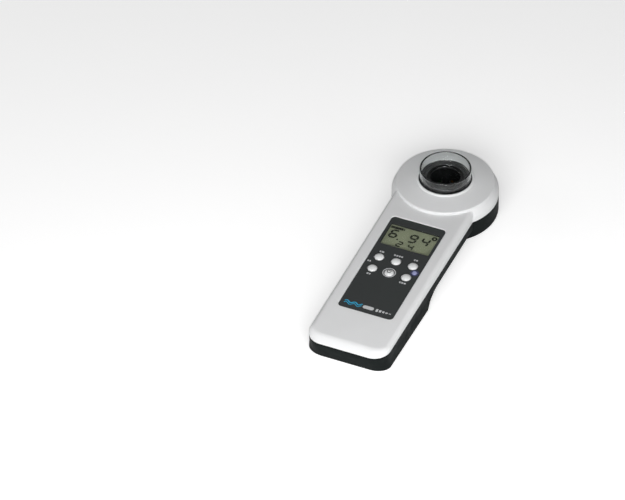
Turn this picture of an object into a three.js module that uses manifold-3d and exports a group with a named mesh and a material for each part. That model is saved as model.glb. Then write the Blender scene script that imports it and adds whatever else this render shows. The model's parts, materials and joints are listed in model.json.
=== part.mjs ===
// Handheld water tester (photometer): a round sample head on a flat handle with a display and six keys.
// Millimetres, +Z up, +Y towards the sample head, +X to the right of somebody reading the display.
// The origin is the centre of the footprint, on the surface that the tester lies on.

import * as THREE from 'three';
import { mergeVertices } from 'three/addons/utils/BufferGeometryUtils.js';
import Module from 'manifold-3d';

const wasm = await Module();
wasm.setup();

// ---------------------------------------------------------------- driving dimensions
const LENGTH = 202;
const HEAD_RADIUS = 35;
const HEAD_Y = LENGTH / 2 - HEAD_RADIUS;
const END_Y = -LENGTH / 2;
const HALF_WIDTH = 28;            // handle, where it meets the head
const END_HALF_WIDTH = 27.5;      // handle, at its free end
const CORNER_RADIUS = 11;
const CORNER_STEPS = 5;
const WALL = 2.4;
const SEAM_Z = 13;
const SEAM_GAP = 0.3;
const GAP = 0.3;                  // clearance between neighbouring pieces

const DECK_Y = 22.3;              // the deck is the handle's sloping top face
const DECK_Z = 20.8;
const DECK_SLOPE = 0.0287;
const SIDE_ROUND = 3.2;
const SIDE_STRAIGHT = 0.45;       // share of the side's height that stays upright
const END_REACH = 6.2;            // how far the end's bevel reaches into the deck
const END_BEVEL = [[0, 0.2], [0.08, 0.3], [0.5, 0.77], [0.71, 0.93], [0.84, 0.98], [1, 1]];

const LEAN_START_Z = 17.5;        // above this height the head's wall leans in towards the disc's edge
const DISC_EDGE = [32.8, 23.25];  // radius and height
const LIP_Z = 26;
const LIP_RADIUS = 18.9;
const SOCKET_RADIUS = 18.4;

const NECK_Z = 6.6;               // underside of the finger arch
const ARCH_START_Y = -12;
const BULGE_Y = -34.2;            // where the battery bulge reaches the table
const NECK_FLOOR_Z = 8.8;
const BULGE_FLOOR_Z = 4.4;
const HEAD_FLOOR_Z = 2.4;
const END_SLANT = 2.8;
const FLARE = 0.6;                // how far the sides stand out at the table, next to the end's corners
const SPLAY = 2;                  // how much more they stand out at the head's centre
const FOOT_ROUND = 1;

const LABEL_WIDTH = 37.6;
const LABEL_LENGTH = 90.5;
const LABEL_Y = -22.35;
const LABEL_RADIUS = 2.6;
const LABEL_TOP = -0.4;           // heights below the deck are negative
const LABEL_THICK = 0.3;
const WINDOW_WIDTH = 34;
const WINDOW_LENGTH = 20.6;
const WINDOW_Y = 28.85;           // from the label's centre
const LENS_TOP = -0.9;
const LENS_THICK = 0.7;
const GLASS_TOP = -1.9;
const GLASS_THICK = 1.6;
const KEY_PITCH = 11.7;
const KEY_ROWS = [6.15, -5.15];   // from the label's centre
const KEY_RADIUS = 3.15;
const KEY_HOLE = 3.5;
const GUIDE_X = 15.2;
const GUIDE_Y = 0.55;
const GUIDE_RADIUS = 1.5;

const BOARD_TOP = -5.7;
const BOARD_THICK = 1.6;
const BOARD_HALF_WIDTH = 19.6;
const BOARD_NEAR = -11.5;
const BOARD_FAR = 66;

const CUVETTE_TOP = 34;
const CUP_RADIUS = 16.9;
const CHAMBER_RADIUS = 12;
const CHAMBER_WALL = 2.2;
const OPTIC_Z = 12.5;
const OPTIC_RADIUS = 18;
const LAMP_ANGLES = [50, 90, 130];

const CELL_RADIUS = 5.2;
const CELL_LENGTH = 44.4;
const CELL_PITCH = 11.1;
const CELL_Z = 8.55;
const BAY_HALF_WIDTH = 17;
const BAY_FAR = -37.5;
const BAY_NEAR = -86.5;
const BAY_ROOF = 14;
const COVER_HALF_WIDTH = 24.4;
const COVER_FAR = -35.3;
const COVER_NEAR = -88.8;
const COVER_Z = 0.35;
const COVER_THICK = 1.8;

const CASE_SCREWS = [[22.4, -8], [19.1, HEAD_Y + 19.1], [17, -92.4]];
const COVER_SCREWS = [[21.2, -44], [21.2, -80]];

const ROUND = 36;                 // segments round the head
const SMALL_ROUND = 12;           // segments round small turned pieces

// ---------------------------------------------------------------- solids and meshes
const model = new THREE.Group();

const deckHeight = (y) => DECK_Z + (y - DECK_Y) * DECK_SLOPE;
const deck = new THREE.Group();
deck.position.set(0, LABEL_Y, deckHeight(LABEL_Y));
deck.rotation.x = Math.atan(DECK_SLOPE);
deck.updateMatrix();
model.add(deck);

// A closed geometry as a solid: shared corners merged, empty triangles dropped, faces turned outwards.
function solid(geometry) {
  const bare = geometry.index ? geometry.toNonIndexed() : geometry.clone();
  bare.deleteAttribute('normal');
  bare.deleteAttribute('uv');
  const merged = mergeVertices(bare, 1e-4);
  const positions = merged.attributes.position;
  const faces = [];
  let volume = 0;
  const [a, b, c] = [new THREE.Vector3(), new THREE.Vector3(), new THREE.Vector3()];
  for (let i = 0; i < merged.index.count; i += 3) {
    const corners = [0, 1, 2].map((k) => merged.index.getX(i + k));
    if (new Set(corners).size < 3) continue;
    a.fromBufferAttribute(positions, corners[0]);
    b.fromBufferAttribute(positions, corners[1]);
    c.fromBufferAttribute(positions, corners[2]);
    volume += a.dot(b.clone().cross(c));
    faces.push(corners);
  }
  if (volume < 0) faces.forEach((corners) => corners.reverse());
  const mesh = new wasm.Mesh({
    numProp: 3,
    vertProperties: Float32Array.from(positions.array),
    triVerts: Uint32Array.from(faces.flat()),
  });
  return new wasm.Manifold(mesh);
}

function surface(body) {
  const mesh = body.getMesh();
  const geometry = new THREE.BufferGeometry();
  geometry.setAttribute('position', new THREE.BufferAttribute(mesh.vertProperties.slice(), 3));
  geometry.setIndex(new THREE.BufferAttribute(mesh.triVerts.slice(), 1));
  geometry.computeVertexNormals();
  return geometry;
}

const join = (...bodies) => bodies.reduce((whole, body) => whole.add(body));
const cut = (body, ...tools) => tools.reduce((whole, tool) => whole.subtract(tool), body);

function addPart(name, body, color, roughness, metalness = 0, parent = model) {
  const material = new THREE.MeshStandardMaterial({ color, roughness, metalness });
  const mesh = new THREE.Mesh(surface(body), material);
  mesh.name = name;
  parent.add(mesh);
  return mesh;
}

// ---------------------------------------------------------------- basic shapes
// A turned piece about a vertical axis through (x, y); points are [radius, height].
function turned(points, segments = SMALL_ROUND, x = 0, y = 0) {
  const profile = points.map(([radius, height]) => new THREE.Vector2(radius, height));
  const geometry = new THREE.LatheGeometry(profile, segments);
  geometry.rotateX(Math.PI / 2);
  geometry.translate(x, y, 0);
  return solid(geometry);
}

function rod(radius, low, high, x = 0, y = 0, segments = SMALL_ROUND) {
  return turned([[0, low], [radius, low], [radius, high], [0, high]], segments, x, y);
}

function roundedRectangle(width, length, radius) {
  const [w, l] = [width / 2, length / 2];
  const shape = new THREE.Shape();
  shape.moveTo(w - radius, -l);
  shape.absarc(w - radius, -l + radius, radius, -Math.PI / 2, 0);
  shape.absarc(w - radius, l - radius, radius, 0, Math.PI / 2);
  shape.absarc(-w + radius, l - radius, radius, Math.PI / 2, Math.PI);
  shape.absarc(-w + radius, -l + radius, radius, Math.PI, Math.PI * 1.5);
  return shape;
}

// A flat plate with rounded corners, its middle at (x, y), between two heights.
function plate(width, length, low, high, x = 0, y = 0, radius = 0.5, corner = 2) {
  const options = { depth: high - low, bevelEnabled: false, curveSegments: corner };
  const geometry = new THREE.ExtrudeGeometry(roundedRectangle(width, length, radius), options);
  geometry.translate(x, y, low);
  return solid(geometry);
}

function block(width, length, low, high, x = 0, y = 0) {
  const geometry = new THREE.BoxGeometry(width, length, high - low);
  geometry.translate(x, y, (low + high) / 2);
  return solid(geometry);
}

// A side view in Y and Z, stretched across X.
function acrossX(shape, width) {
  const options = { depth: width, bevelEnabled: false, curveSegments: 6 };
  const geometry = new THREE.ExtrudeGeometry(shape, options);
  geometry.translate(0, 0, -width / 2);
  const axes = new THREE.Matrix4().makeBasis(
    new THREE.Vector3(0, 1, 0),
    new THREE.Vector3(0, 0, 1),
    new THREE.Vector3(1, 0, 0),
  );
  return solid(geometry.applyMatrix4(axes));
}

// A closed skin through rings of points, each ring anticlockwise and above the one before.
function loft(rings) {
  const count = rings[0].length;
  const geometry = new THREE.BufferGeometry().setFromPoints(rings.flat());
  const index = [];
  for (let level = 0; level < rings.length - 1; level += 1) {
    for (let i = 0; i < count; i += 1) {
      const a = level * count + i;
      const b = level * count + (i + 1) % count;
      index.push(a, b, b + count, a, b + count, a + count);
    }
  }
  const base = rings[0].map((point) => new THREE.Vector2(point.x, point.y));
  const last = (rings.length - 1) * count;
  for (const [a, b, c] of THREE.ShapeUtils.triangulateShape(base, [])) {
    index.push(a, c, b, last + a, last + b, last + c);
  }
  geometry.setIndex(index);
  return solid(geometry);
}

// Moves a solid from the deck's own frame into the model's frame.
function onDeck(body) {
  return solid(surface(body).applyMatrix4(deck.matrix));
}

const mirrored = (places) => places.flatMap(([x, y]) => [[x, y], [-x, y]]);

// ---------------------------------------------------------------- the handle's outline
// One ring round the handle. at(endness) gives the insets and the height: 0 on a side, 1 on the end.
function handleRing(at, splay = 0) {
  const side = at(0);
  const end = at(1);
  const centreX = END_HALF_WIDTH - CORNER_RADIUS;
  const centreY = END_Y + CORNER_RADIUS;
  const ring = [];
  const put = (x, y, level) => ring.push(new THREE.Vector3(x, y, level.height(y)));
  const corner = (sign, step) => {
    const angle = (step / CORNER_STEPS) * (Math.PI / 2);
    const x = centreX + (CORNER_RADIUS - side.inset) * Math.sin(angle);
    const y = centreY - (CORNER_RADIUS - end.inset) * Math.cos(angle);
    put(sign * x, y, at(Math.cos(angle) ** 2));
  };
  for (let step = 0; step <= CORNER_STEPS; step += 1) corner(1, step);
  put(HALF_WIDTH - side.inset + splay, HEAD_Y, side);
  put(-HALF_WIDTH + side.inset - splay, HEAD_Y, side);
  for (let step = CORNER_STEPS; step >= 0; step -= 1) corner(-1, step);
  return ring;
}

const flatRing = (inset, z, endInset = inset, splay = 0) => handleRing((endness) => ({
  inset: inset + (endInset - inset) * endness,
  height: () => z,
}), splay);

// The upper half of the handle: upright at the seam. Its sides are rounded over to the sloping deck, its end
// is bevelled.
function upperHandle(inset, drop, sideRound, endReach, low) {
  const level = ([reach, endShare], step) => handleRing((endness) => {
    const turn = (step / (END_BEVEL.length - 1)) * (Math.PI / 2);
    const sideShare = SIDE_STRAIGHT + (1 - SIDE_STRAIGHT) * Math.sin(turn);
    const sideInset = sideRound * (1 - Math.cos(turn));
    const share = sideShare + (endShare - sideShare) * endness;
    return {
      inset: inset + sideInset + (endReach * reach - sideInset) * endness,
      height: (y) => low + (deckHeight(y) - drop - low) * share,
    };
  });
  return loft([flatRing(inset, low), ...END_BEVEL.map(level)]);
}

// The lower half of the handle before the finger arch is cut: towards the table its end leans in and its
// sides lean out.
function lowerHandle() {
  const rings = [];
  for (let step = 0; step <= 3; step += 1) {
    const turn = (step / 3) * (Math.PI / 2);
    const inset = FOOT_ROUND * (1 - Math.sin(turn));
    rings.push(flatRing(inset - FLARE, FOOT_ROUND * (1 - Math.cos(turn)), inset + END_SLANT, SPLAY));
  }
  rings.push(flatRing(0, NECK_Z, END_SLANT * 0.45));
  rings.push(flatRing(0, 11.3));
  rings.push(flatRing(0, SEAM_Z - SEAM_GAP / 2));
  return loft(rings);
}

// The band between two insets of the whole outline, handle and head together.
function outlineBand(outer, inner, low, high) {
  const filled = (inset) => join(
    loft([flatRing(inset, low), flatRing(inset, high)]),
    rod(HEAD_RADIUS - inset, low, high, 0, HEAD_Y, ROUND),
  );
  return cut(filled(outer), filled(inner));
}

// ---------------------------------------------------------------- upper case
function headTop() {
  const low = SEAM_Z + SEAM_GAP / 2;
  const [edgeRadius, edgeZ] = DISC_EDGE;
  const points = [[0, low], [HEAD_RADIUS, low], [HEAD_RADIUS, LEAN_START_Z - 0.9]];
  points.push([HEAD_RADIUS - 0.5, LEAN_START_Z + 1], [edgeRadius + 0.5, edgeZ - 1.2]);
  points.push([edgeRadius - 0.2, edgeZ - 0.4], [edgeRadius - 1.3, edgeZ + 0.2]);
  points.push([LIP_RADIUS + 1.2, LIP_Z - 0.9], [LIP_RADIUS + 0.7, LIP_Z - 0.6]);
  points.push([LIP_RADIUS + 0.3, LIP_Z - 0.15], [LIP_RADIUS - 0.3, LIP_Z], [0, LIP_Z]);
  return turned(points, ROUND, 0, HEAD_Y);
}

function headTopCavity() {
  const radius = HEAD_RADIUS - WALL;
  const points = [[0, SEAM_Z - 1], [radius, SEAM_Z - 1], [radius, 19.4], [radius - 1.6, 20], [19.4, 22.3]];
  points.push([0, 22.3]);
  return turned(points, ROUND, 0, HEAD_Y);
}

function deckOpenings() {
  const tools = [
    plate(LABEL_WIDTH + 0.4, LABEL_LENGTH + 0.4, LABEL_TOP - LABEL_THICK - 0.1, 4, 0, 0, LABEL_RADIUS + 0.2),
    plate(WINDOW_WIDTH + 2.2, WINDOW_LENGTH + 2.2, -6, 4, 0, WINDOW_Y, 1.2),
    rod(GUIDE_RADIUS + GAP, -6, 4, GUIDE_X, GUIDE_Y, 12),
    ...keyPlaces.map(([x, y]) => rod(KEY_HOLE, -6, 4, x, y)),
  ];
  return tools.map(onDeck);
}

const bossTops = [18.6, 22, 16.3];
const bossBottom = SEAM_Z + 0.4;

function upperCase() {
  const low = SEAM_Z + SEAM_GAP / 2;
  const outer = join(headTop(), upperHandle(0, 0, SIDE_ROUND, END_REACH, low));
  const cavity = join(headTopCavity(), upperHandle(WALL, WALL, SIDE_ROUND - 1, END_REACH - 2, low - 0.5));
  let body = cut(outer, cavity);
  CASE_SCREWS.forEach((place, index) => {
    for (const [x, y] of mirrored([place])) {
      body = body.add(rod(2.8, bossBottom, bossTops[index], x, y, 12));
      body = body.subtract(rod(1.35, bossBottom - 1, bossTops[index] - 0.8, x, y, 12));
    }
  });
  return cut(body, rod(SOCKET_RADIUS, 10, 30, 0, HEAD_Y, ROUND), ...deckOpenings());
}

// ---------------------------------------------------------------- lower case
function fingerArch() {
  const side = new THREE.Shape();
  side.moveTo(HEAD_Y + 4, -2);
  side.lineTo(HEAD_Y + 4, NECK_Z);
  side.lineTo(ARCH_START_Y, NECK_Z);
  side.quadraticCurveTo(ARCH_START_Y - 6.5, NECK_Z, ARCH_START_Y - 12.5, 4.1);
  side.lineTo(BULGE_Y, 0);
  side.lineTo(BULGE_Y - 4.7, -2);
  return acrossX(side, 80);
}

// Everything under the handle's inside floor, which steps up from the battery bulge to the neck.
function underFloor() {
  const side = new THREE.Shape();
  side.moveTo(HEAD_Y + 4, -5);
  side.lineTo(HEAD_Y + 4, NECK_FLOOR_Z);
  side.lineTo(BULGE_Y + 13, NECK_FLOOR_Z);
  side.lineTo(BULGE_Y + 2, BULGE_FLOOR_Z);
  side.lineTo(END_Y - 10, BULGE_FLOOR_Z);
  side.lineTo(END_Y - 10, -5);
  return acrossX(side, 80);
}

function headFoot() {
  const points = [[0, 0]];
  for (let step = 0; step <= 3; step += 1) {
    const turn = (step / 3) * (Math.PI / 2);
    points.push([HEAD_RADIUS - FOOT_ROUND * (1 - Math.sin(turn)), FOOT_ROUND * (1 - Math.cos(turn))]);
  }
  points.push([HEAD_RADIUS, SEAM_Z - SEAM_GAP / 2], [0, SEAM_Z - SEAM_GAP / 2]);
  return turned(points, ROUND, 0, HEAD_Y);
}

function lowerCavity() {
  const handle = loft([
    flatRing(WALL, HEAD_FLOOR_Z, WALL + END_SLANT),
    flatRing(WALL, NECK_Z, WALL + END_SLANT * 0.45),
    flatRing(WALL, 11.3),
    flatRing(WALL, SEAM_Z + 1),
  ]);
  const head = rod(HEAD_RADIUS - WALL, HEAD_FLOOR_Z, SEAM_Z + 1, 0, HEAD_Y, ROUND);
  return join(cut(handle, underFloor()), head);
}

const bayLength = BAY_FAR - BAY_NEAR;
const bayMiddle = (BAY_FAR + BAY_NEAR) / 2;
const coverLength = COVER_FAR - COVER_NEAR;
const coverMiddle = (COVER_FAR + COVER_NEAR) / 2;
const coverTop = COVER_Z + COVER_THICK;

// [counterbore top, underside] of each pair of case screws
const screwSeats = [[9.2, NECK_Z], [6, 0], [4, 0]];
const lowerBossTop = SEAM_Z - 0.4;

function lowerCase() {
  const handle = cut(lowerHandle(), fingerArch());
  let body = cut(join(handle, headFoot()), lowerCavity());
  const bayWall = 1.6;
  const [bayWidth, bayOutside] = [BAY_HALF_WIDTH * 2, bayLength + 2 * bayWall - 0.4];
  body = body.add(block(bayWidth + 2 * bayWall, bayOutside, BULGE_FLOOR_Z - 0.4, BAY_ROOF + 1, 0, bayMiddle));
  body = body.add(cut(
    rod(14.6, HEAD_FLOOR_Z - 0.4, HEAD_FLOOR_Z + 0.8, 0, HEAD_Y, 24),
    rod(13, HEAD_FLOOR_Z - 1, HEAD_FLOOR_Z + 2, 0, HEAD_Y, 24),
  ));
  for (const [x, y] of mirrored([[16, 20], [16, -30]])) {
    const top = deckHeight(y) + BOARD_TOP - BOARD_THICK - 0.4;
    body = body.add(rod(1.6, NECK_FLOOR_Z - 3, top, x, y, 10));
  }
  for (const [x, y] of mirrored(COVER_SCREWS)) {
    body = body.add(rod(2.8, BULGE_FLOOR_Z - 0.4, 9.4, x, y, 12));
  }
  CASE_SCREWS.forEach((place, index) => {
    const [seat, underside] = screwSeats[index];
    for (const [x, y] of mirrored([place])) {
      body = body.add(rod(3.4, underside + 1, lowerBossTop, x, y, 14));
      body = body.subtract(rod(2.45, underside - 1, seat, x, y, 14));
      body = body.subtract(rod(1.35, underside, SEAM_Z + 1, x, y, 12));
    }
  });
  const tools = [
    block(bayWidth, bayLength, 3.6, BAY_ROOF, 0, bayMiddle),
    block(bayWidth + 1.2, bayLength + 1, -1, 3.7, 0, bayMiddle),
    plate(COVER_HALF_WIDTH * 2 + 2 * GAP, coverLength + 2 * GAP, -1, coverTop + GAP, 0, coverMiddle, 4.3),
    plate(32, 34, 5, NECK_Z + 0.45, 0, 10, 1.5),
    ...mirrored(COVER_SCREWS).map(([x, y]) => rod(1.2, 0, 8.4, x, y, 12)),
    outlineBand(0.7, 1.8, SEAM_Z - 1.2, SEAM_Z + 1),
  ];
  return cut(body, ...tools);
}

// ---------------------------------------------------------------- keys, label and display
const keyPlaces = KEY_ROWS.flatMap((y) => [-KEY_PITCH, 0, KEY_PITCH].map((x) => [x, y]));
const keyNames = ['key_1', 'key_2', 'key_3', 'key_4', 'key_power', 'key_5'];

function keyBody(x, y) {
  const points = [[0, -4], [2.1, -4], [2.1, -3.4], [4.1, -3.4], [4.1, -2.7], [KEY_RADIUS, -2.7]];
  points.push([KEY_RADIUS, 0], [KEY_RADIUS - 0.35, 0.45], [KEY_RADIUS - 1.2, 0.8], [1, 0.95], [0, 1]);
  return turned(points, SMALL_ROUND, x, y);
}

function addKeypad() {
  keyPlaces.forEach(([x, y], index) => {
    const name = keyNames[index];
    addPart(name, keyBody(x, y), '#c9cccb', 0.35, 0, deck);
    const pill = rod(1.7, -4.75, -4.2, x, y, 12);
    addPart(`${name}_contact`, pill, '#1c1c1d', 0.8, 0, deck);
  });
  const middle = (KEY_ROWS[0] + KEY_ROWS[1]) / 2;
  const sheet = plate(37, 23, -3.4, -2.6, 0, middle, 2);
  const rim = cut(plate(37, 23, -5.5, -3.3, 0, middle, 2), plate(34.8, 20.8, -6, -3, 0, middle, 1.4));
  const holes = keyPlaces.map(([x, y]) => rod(4.5, -4, -2, x, y));
  const guideHole = rod(GUIDE_RADIUS + GAP, -4, -2, GUIDE_X, GUIDE_Y, 12);
  addPart('key_mat', cut(join(sheet, rim), ...holes, guideHole), '#8e9295', 0.75, 0, deck);
}

function addLabel() {
  const film = plate(LABEL_WIDTH, LABEL_LENGTH, LABEL_TOP - LABEL_THICK, LABEL_TOP, 0, 0, LABEL_RADIUS, 4);
  const holes = keyPlaces.map(([x, y]) => rod(KEY_HOLE - 0.05, -2, 2, x, y));
  const window = plate(WINDOW_WIDTH, WINDOW_LENGTH, -2, 2, 0, WINDOW_Y, 0.7);
  const guideHole = rod(GUIDE_RADIUS + 0.25, -2, 2, GUIDE_X, GUIDE_Y, 12);
  addPart('front_label', cut(film, window, guideHole, ...holes), '#3a3c3f', 0.45, 0, deck);
  const guide = [[0, -5.4], [0.9, -5.4], [GUIDE_RADIUS, -4.9], [GUIDE_RADIUS, -0.1], [0.8, 0.15], [0, 0.2]];
  addPart('status_light_guide', turned(guide, 12, GUIDE_X, GUIDE_Y), '#4a5fb8', 0.25, 0, deck);
}

function addDisplay() {
  const [width, length] = [WINDOW_WIDTH, WINDOW_LENGTH];
  const lens = plate(width + 1.6, length + 1.6, LENS_TOP - LENS_THICK, LENS_TOP, 0, WINDOW_Y, 1);
  addPart('display_window', lens, '#c8cfc4', 0.1, 0, deck);
  const under = GLASS_TOP - GLASS_THICK;
  const glass = plate(width - 0.4, length - 0.4, under, GLASS_TOP, 0, WINDOW_Y, 0.3);
  addPart('lcd_glass', glass, '#878c73', 0.2, 0, deck);
  const rim = plate(width + 1.6, length + 1.6, BOARD_TOP + 1, GLASS_TOP, 0, WINDOW_Y, 1);
  const holder = cut(
    join(plate(width + 4.4, length + 4.8, BOARD_TOP + 0.2, -WALL - GAP, 0, WINDOW_Y, 1), rim),
    plate(width + 0.2, length + 0.2, BOARD_TOP, 0, 0, WINDOW_Y, 0.5),
  );
  addPart('display_holder', holder, '#2a2b2d', 0.6, 0, deck);
  const stripLength = 1.8;
  const panelLength = length - stripLength - 2;
  const panelY = WINDOW_Y + (length - panelLength) / 2 - GAP;
  const stripY = WINDOW_Y - (length - stripLength) / 2 + GAP;
  const panel = plate(width - 1, panelLength, BOARD_TOP + GAP, under - GAP, 0, panelY, 0.3);
  addPart('backlight_panel', panel, '#e4ead2', 0.5, 0, deck);
  const strip = plate(width - 2, stripLength, BOARD_TOP + 0.2, under - GAP, 0, stripY, 0.3);
  addPart('contact_strip', strip, '#6b6d70', 0.7, 0, deck);
}

// ---------------------------------------------------------------- boards
function addBoards() {
  const width = BOARD_HALF_WIDTH * 2;
  const length = BOARD_FAR - BOARD_NEAR;
  const bottom = BOARD_TOP - BOARD_THICK;
  const board = plate(width, length, bottom, BOARD_TOP, 0, (BOARD_FAR + BOARD_NEAR) / 2, 1.5);
  addPart('main_board', board, '#1f5a38', 0.5, 0, deck);
  const under = bottom - 0.2;
  addPart('processor_chip', plate(10, 10, under - 1.2, under, 0, 20, 0.3), '#17181a', 0.5, 0, deck);
  addPart('wireless_module', plate(13, 9, under - 1.6, under, 0, 44, 0.4), '#b9bcbd', 0.35, 1, deck);
  const socket = cut(
    plate(11, 4, under - 2.2, under, 0, BOARD_FAR - 4.5, 0.3),
    block(9, 4, under - 1.65, under - 0.55, 0, BOARD_FAR - 3),
  );
  addPart('ribbon_socket', socket, '#d8d4c4', 0.6, 0, deck);
}

// A thin ribbon: an open hoop round the optics block, with a tail that runs to the board's socket.
function opticsRibbon() {
  const [inner, outer] = [OPTIC_RADIUS + 0.35, OPTIC_RADIUS + 0.65];
  const [low, high] = [OPTIC_Z - 3, OPTIC_Z + 3];
  const hoop = cut(
    rod(outer, low, high, 0, HEAD_Y, ROUND),
    rod(inner, low - 1, high + 1, 0, HEAD_Y, ROUND),
    block(20, 20, low - 1, high + 1, -OPTIC_RADIUS - 4, HEAD_Y),
  );
  const tailFar = HEAD_Y - inner - 0.1;
  const tailNear = 39.6;
  const tail = block(8, tailFar - tailNear, 12.6, 12.9, 0, (tailFar + tailNear) / 2);
  return join(hoop, tail);
}

// ---------------------------------------------------------------- optics and cuvette
// Lays a piece turned about +Z along a radius of the head: its +Z end points away from the axis.
function alongRadius(body, degrees) {
  const place = new THREE.Matrix4().makeTranslation(0, HEAD_Y, OPTIC_Z);
  place.multiply(new THREE.Matrix4().makeRotationZ(THREE.MathUtils.degToRad(degrees)));
  place.multiply(new THREE.Matrix4().makeRotationY(Math.PI / 2));
  return solid(surface(body).applyMatrix4(place));
}

const detectorAngles = LAMP_ANGLES.map((angle) => angle + 180);

function cuvetteWell() {
  const bore = CHAMBER_RADIUS + 0.35;
  const points = [[0, 3.5], [15, 3.5], [15, OPTIC_Z - 3.5], [OPTIC_RADIUS, OPTIC_Z - 3.5]];
  points.push([OPTIC_RADIUS, OPTIC_Z + 3.5], [15.4, OPTIC_Z + 3.5], [15.4, 19.6], [21.5, 19.6], [21.5, 21]);
  const [collar, foot] = [SOCKET_RADIUS - GAP, CUP_RADIUS + GAP];
  points.push([collar, 21], [collar, 25.7], [foot, 25.7], [foot, 25.3]);
  points.push([14.3, 25.3], [14.3, 23.6], [bore, 23.6]);
  points.push([bore, 5.1], [0, 5.1]);
  const well = turned(points, 32, 0, HEAD_Y);
  const angles = [...LAMP_ANGLES, ...detectorAngles];
  const bores = angles.map((angle) => alongRadius(rod(1.8, 10, 20, 0, 0, 12), angle));
  return cut(well, ...bores);
}

function addOptics() {
  addPart('cuvette_well', cuvetteWell(), '#161718', 0.6);
  const lamp = [[0, 12.9], [0.9, 13.15], [1.5, 14], [1.5, 17.8], [0, 17.8]];
  const detector = [[0, 14], [1.5, 14], [1.5, 17.8], [0, 17.8]];
  LAMP_ANGLES.forEach((angle, index) => {
    const color = ['#e8503c', '#efc23c', '#46b45a'][index];
    addPart(`lamp_${index + 1}`, alongRadius(turned(lamp, 12), angle), color, 0.2);
  });
  detectorAngles.forEach((angle, index) => {
    addPart(`light_detector_${index + 1}`, alongRadius(turned(detector, 12), angle), '#22252c', 0.2);
  });
  addPart('optics_ribbon', opticsRibbon(), '#c07c33', 0.45);
}

function addCuvette() {
  const inner = CHAMBER_RADIUS - CHAMBER_WALL;
  const cup = CUP_RADIUS - 1.2;
  const points = [[0, 5.4], [CHAMBER_RADIUS - 0.4, 5.4], [CHAMBER_RADIUS, 5.8], [CHAMBER_RADIUS, 25.6]];
  points.push([CUP_RADIUS - 0.4, 25.6], [CUP_RADIUS, 26], [CUP_RADIUS, CUVETTE_TOP - 0.4]);
  points.push([CUP_RADIUS - 0.4, CUVETTE_TOP], [cup + 0.3, CUVETTE_TOP], [cup, CUVETTE_TOP - 0.3]);
  points.push([cup, 27.2], [cup - 0.4, 26.8], [inner + 0.3, 26.8], [inner, 26.5], [inner, 7], [0, 7]);
  addPart('cuvette', turned(points, 32, 0, HEAD_Y), '#dfe4e4', 0.05);
  const ring = [];
  for (let step = 0; step < 6; step += 1) {
    const turn = (step / 6) * Math.PI * 2;
    ring.push([13.15 + 0.7 * Math.cos(turn), 24.65 + 0.7 * Math.sin(turn)]);
  }
  addPart('cuvette_seal', turned([...ring, ring[0]], 28, 0, HEAD_Y), '#151515', 0.7);
}

// ---------------------------------------------------------------- batteries
// Lays a piece turned about +Z along Y: its +Z end points along the given direction, +1 or -1.
function alongY(body, direction, x, y, z) {
  const place = new THREE.Matrix4().makeTranslation(x, y, z);
  place.multiply(new THREE.Matrix4().makeRotationX(-direction * Math.PI / 2));
  return solid(surface(body).applyMatrix4(place));
}

function contactSpring() {
  class Cone extends THREE.Curve {
    getPoint(t, target = new THREE.Vector3()) {
      const turn = t * Math.PI * 2 * 2.5;
      const radius = 3.4 - 1.6 * t;
      return target.set(radius * Math.cos(turn), radius * Math.sin(turn), 0.35 + 2.2 * t);
    }
  }
  const wire = new THREE.Shape();
  wire.absarc(0, 0, 0.3, 0, Math.PI * 2);
  const options = { steps: 24, bevelEnabled: false, extrudePath: new Cone(), curveSegments: 3 };
  return solid(new THREE.ExtrudeGeometry(wire, options));
}

function addBatteries() {
  const shoulder = CELL_LENGTH - 0.9;
  const cap = [[0, 0], [CELL_RADIUS - 0.3, 0], [CELL_RADIUS, 0.3], [CELL_RADIUS, shoulder - 0.3]];
  cap.push([CELL_RADIUS - 0.4, shoulder], [1.9, shoulder], [1.9, CELL_LENGTH], [0, CELL_LENGTH]);
  [-1, 0, 1].forEach((slot, index) => {
    const direction = slot === 0 ? -1 : 1;
    const x = slot * CELL_PITCH;
    const wall = direction > 0 ? BAY_FAR : BAY_NEAR;
    const oppositeWall = direction > 0 ? BAY_NEAR : BAY_FAR;
    const tip = wall - direction * 1.1;
    const cell = alongY(turned(cap, 16), direction, x, tip - direction * CELL_LENGTH, CELL_Z);
    addPart(`battery_${index + 1}`, cell, '#3d434a', 0.35, 0.4);
    const contact = block(8, 0.5, CELL_Z - 4, CELL_Z + 4, x, wall - direction * 0.5);
    addPart(`battery_contact_${index + 1}`, contact, '#c9c4b2', 0.3, 1);
    const spring = alongY(contactSpring(), direction, x, oppositeWall + direction * 0.3, CELL_Z);
    addPart(`battery_spring_${index + 1}`, spring, '#c4c6c8', 0.3, 1);
  });
}

function addBatteryCover() {
  const skin = plate(COVER_HALF_WIDTH * 2, coverLength, COVER_Z, coverTop, 0, coverMiddle, 4, 4);
  const rim = cut(
    plate(BAY_HALF_WIDTH * 2 - 0.8, bayLength - 0.8, coverTop - 0.1, 3.3, 0, bayMiddle, 0.6),
    plate(BAY_HALF_WIDTH * 2 - 3.2, bayLength - 3.2, coverTop, 4, 0, bayMiddle, 0.4),
  );
  const holes = mirrored(COVER_SCREWS).flatMap(([x, y]) => [
    rod(2.1, -1, COVER_Z + 1, x, y),
    rod(1.2, -1, 4, x, y, 12),
  ]);
  addPart('battery_cover', cut(join(skin, rim), ...holes), '#2b2f30', 0.7);
  const seal = cut(
    plate(BAY_HALF_WIDTH * 2 + 0.8, bayLength + 0.6, coverTop + 0.4, 3.2, 0, bayMiddle, 0.6),
    plate(BAY_HALF_WIDTH * 2 - 0.4, bayLength - 0.4, 1, 5, 0, bayMiddle, 0.5),
  );
  addPart('battery_cover_seal', seal, '#18191a', 0.8);
}

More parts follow.
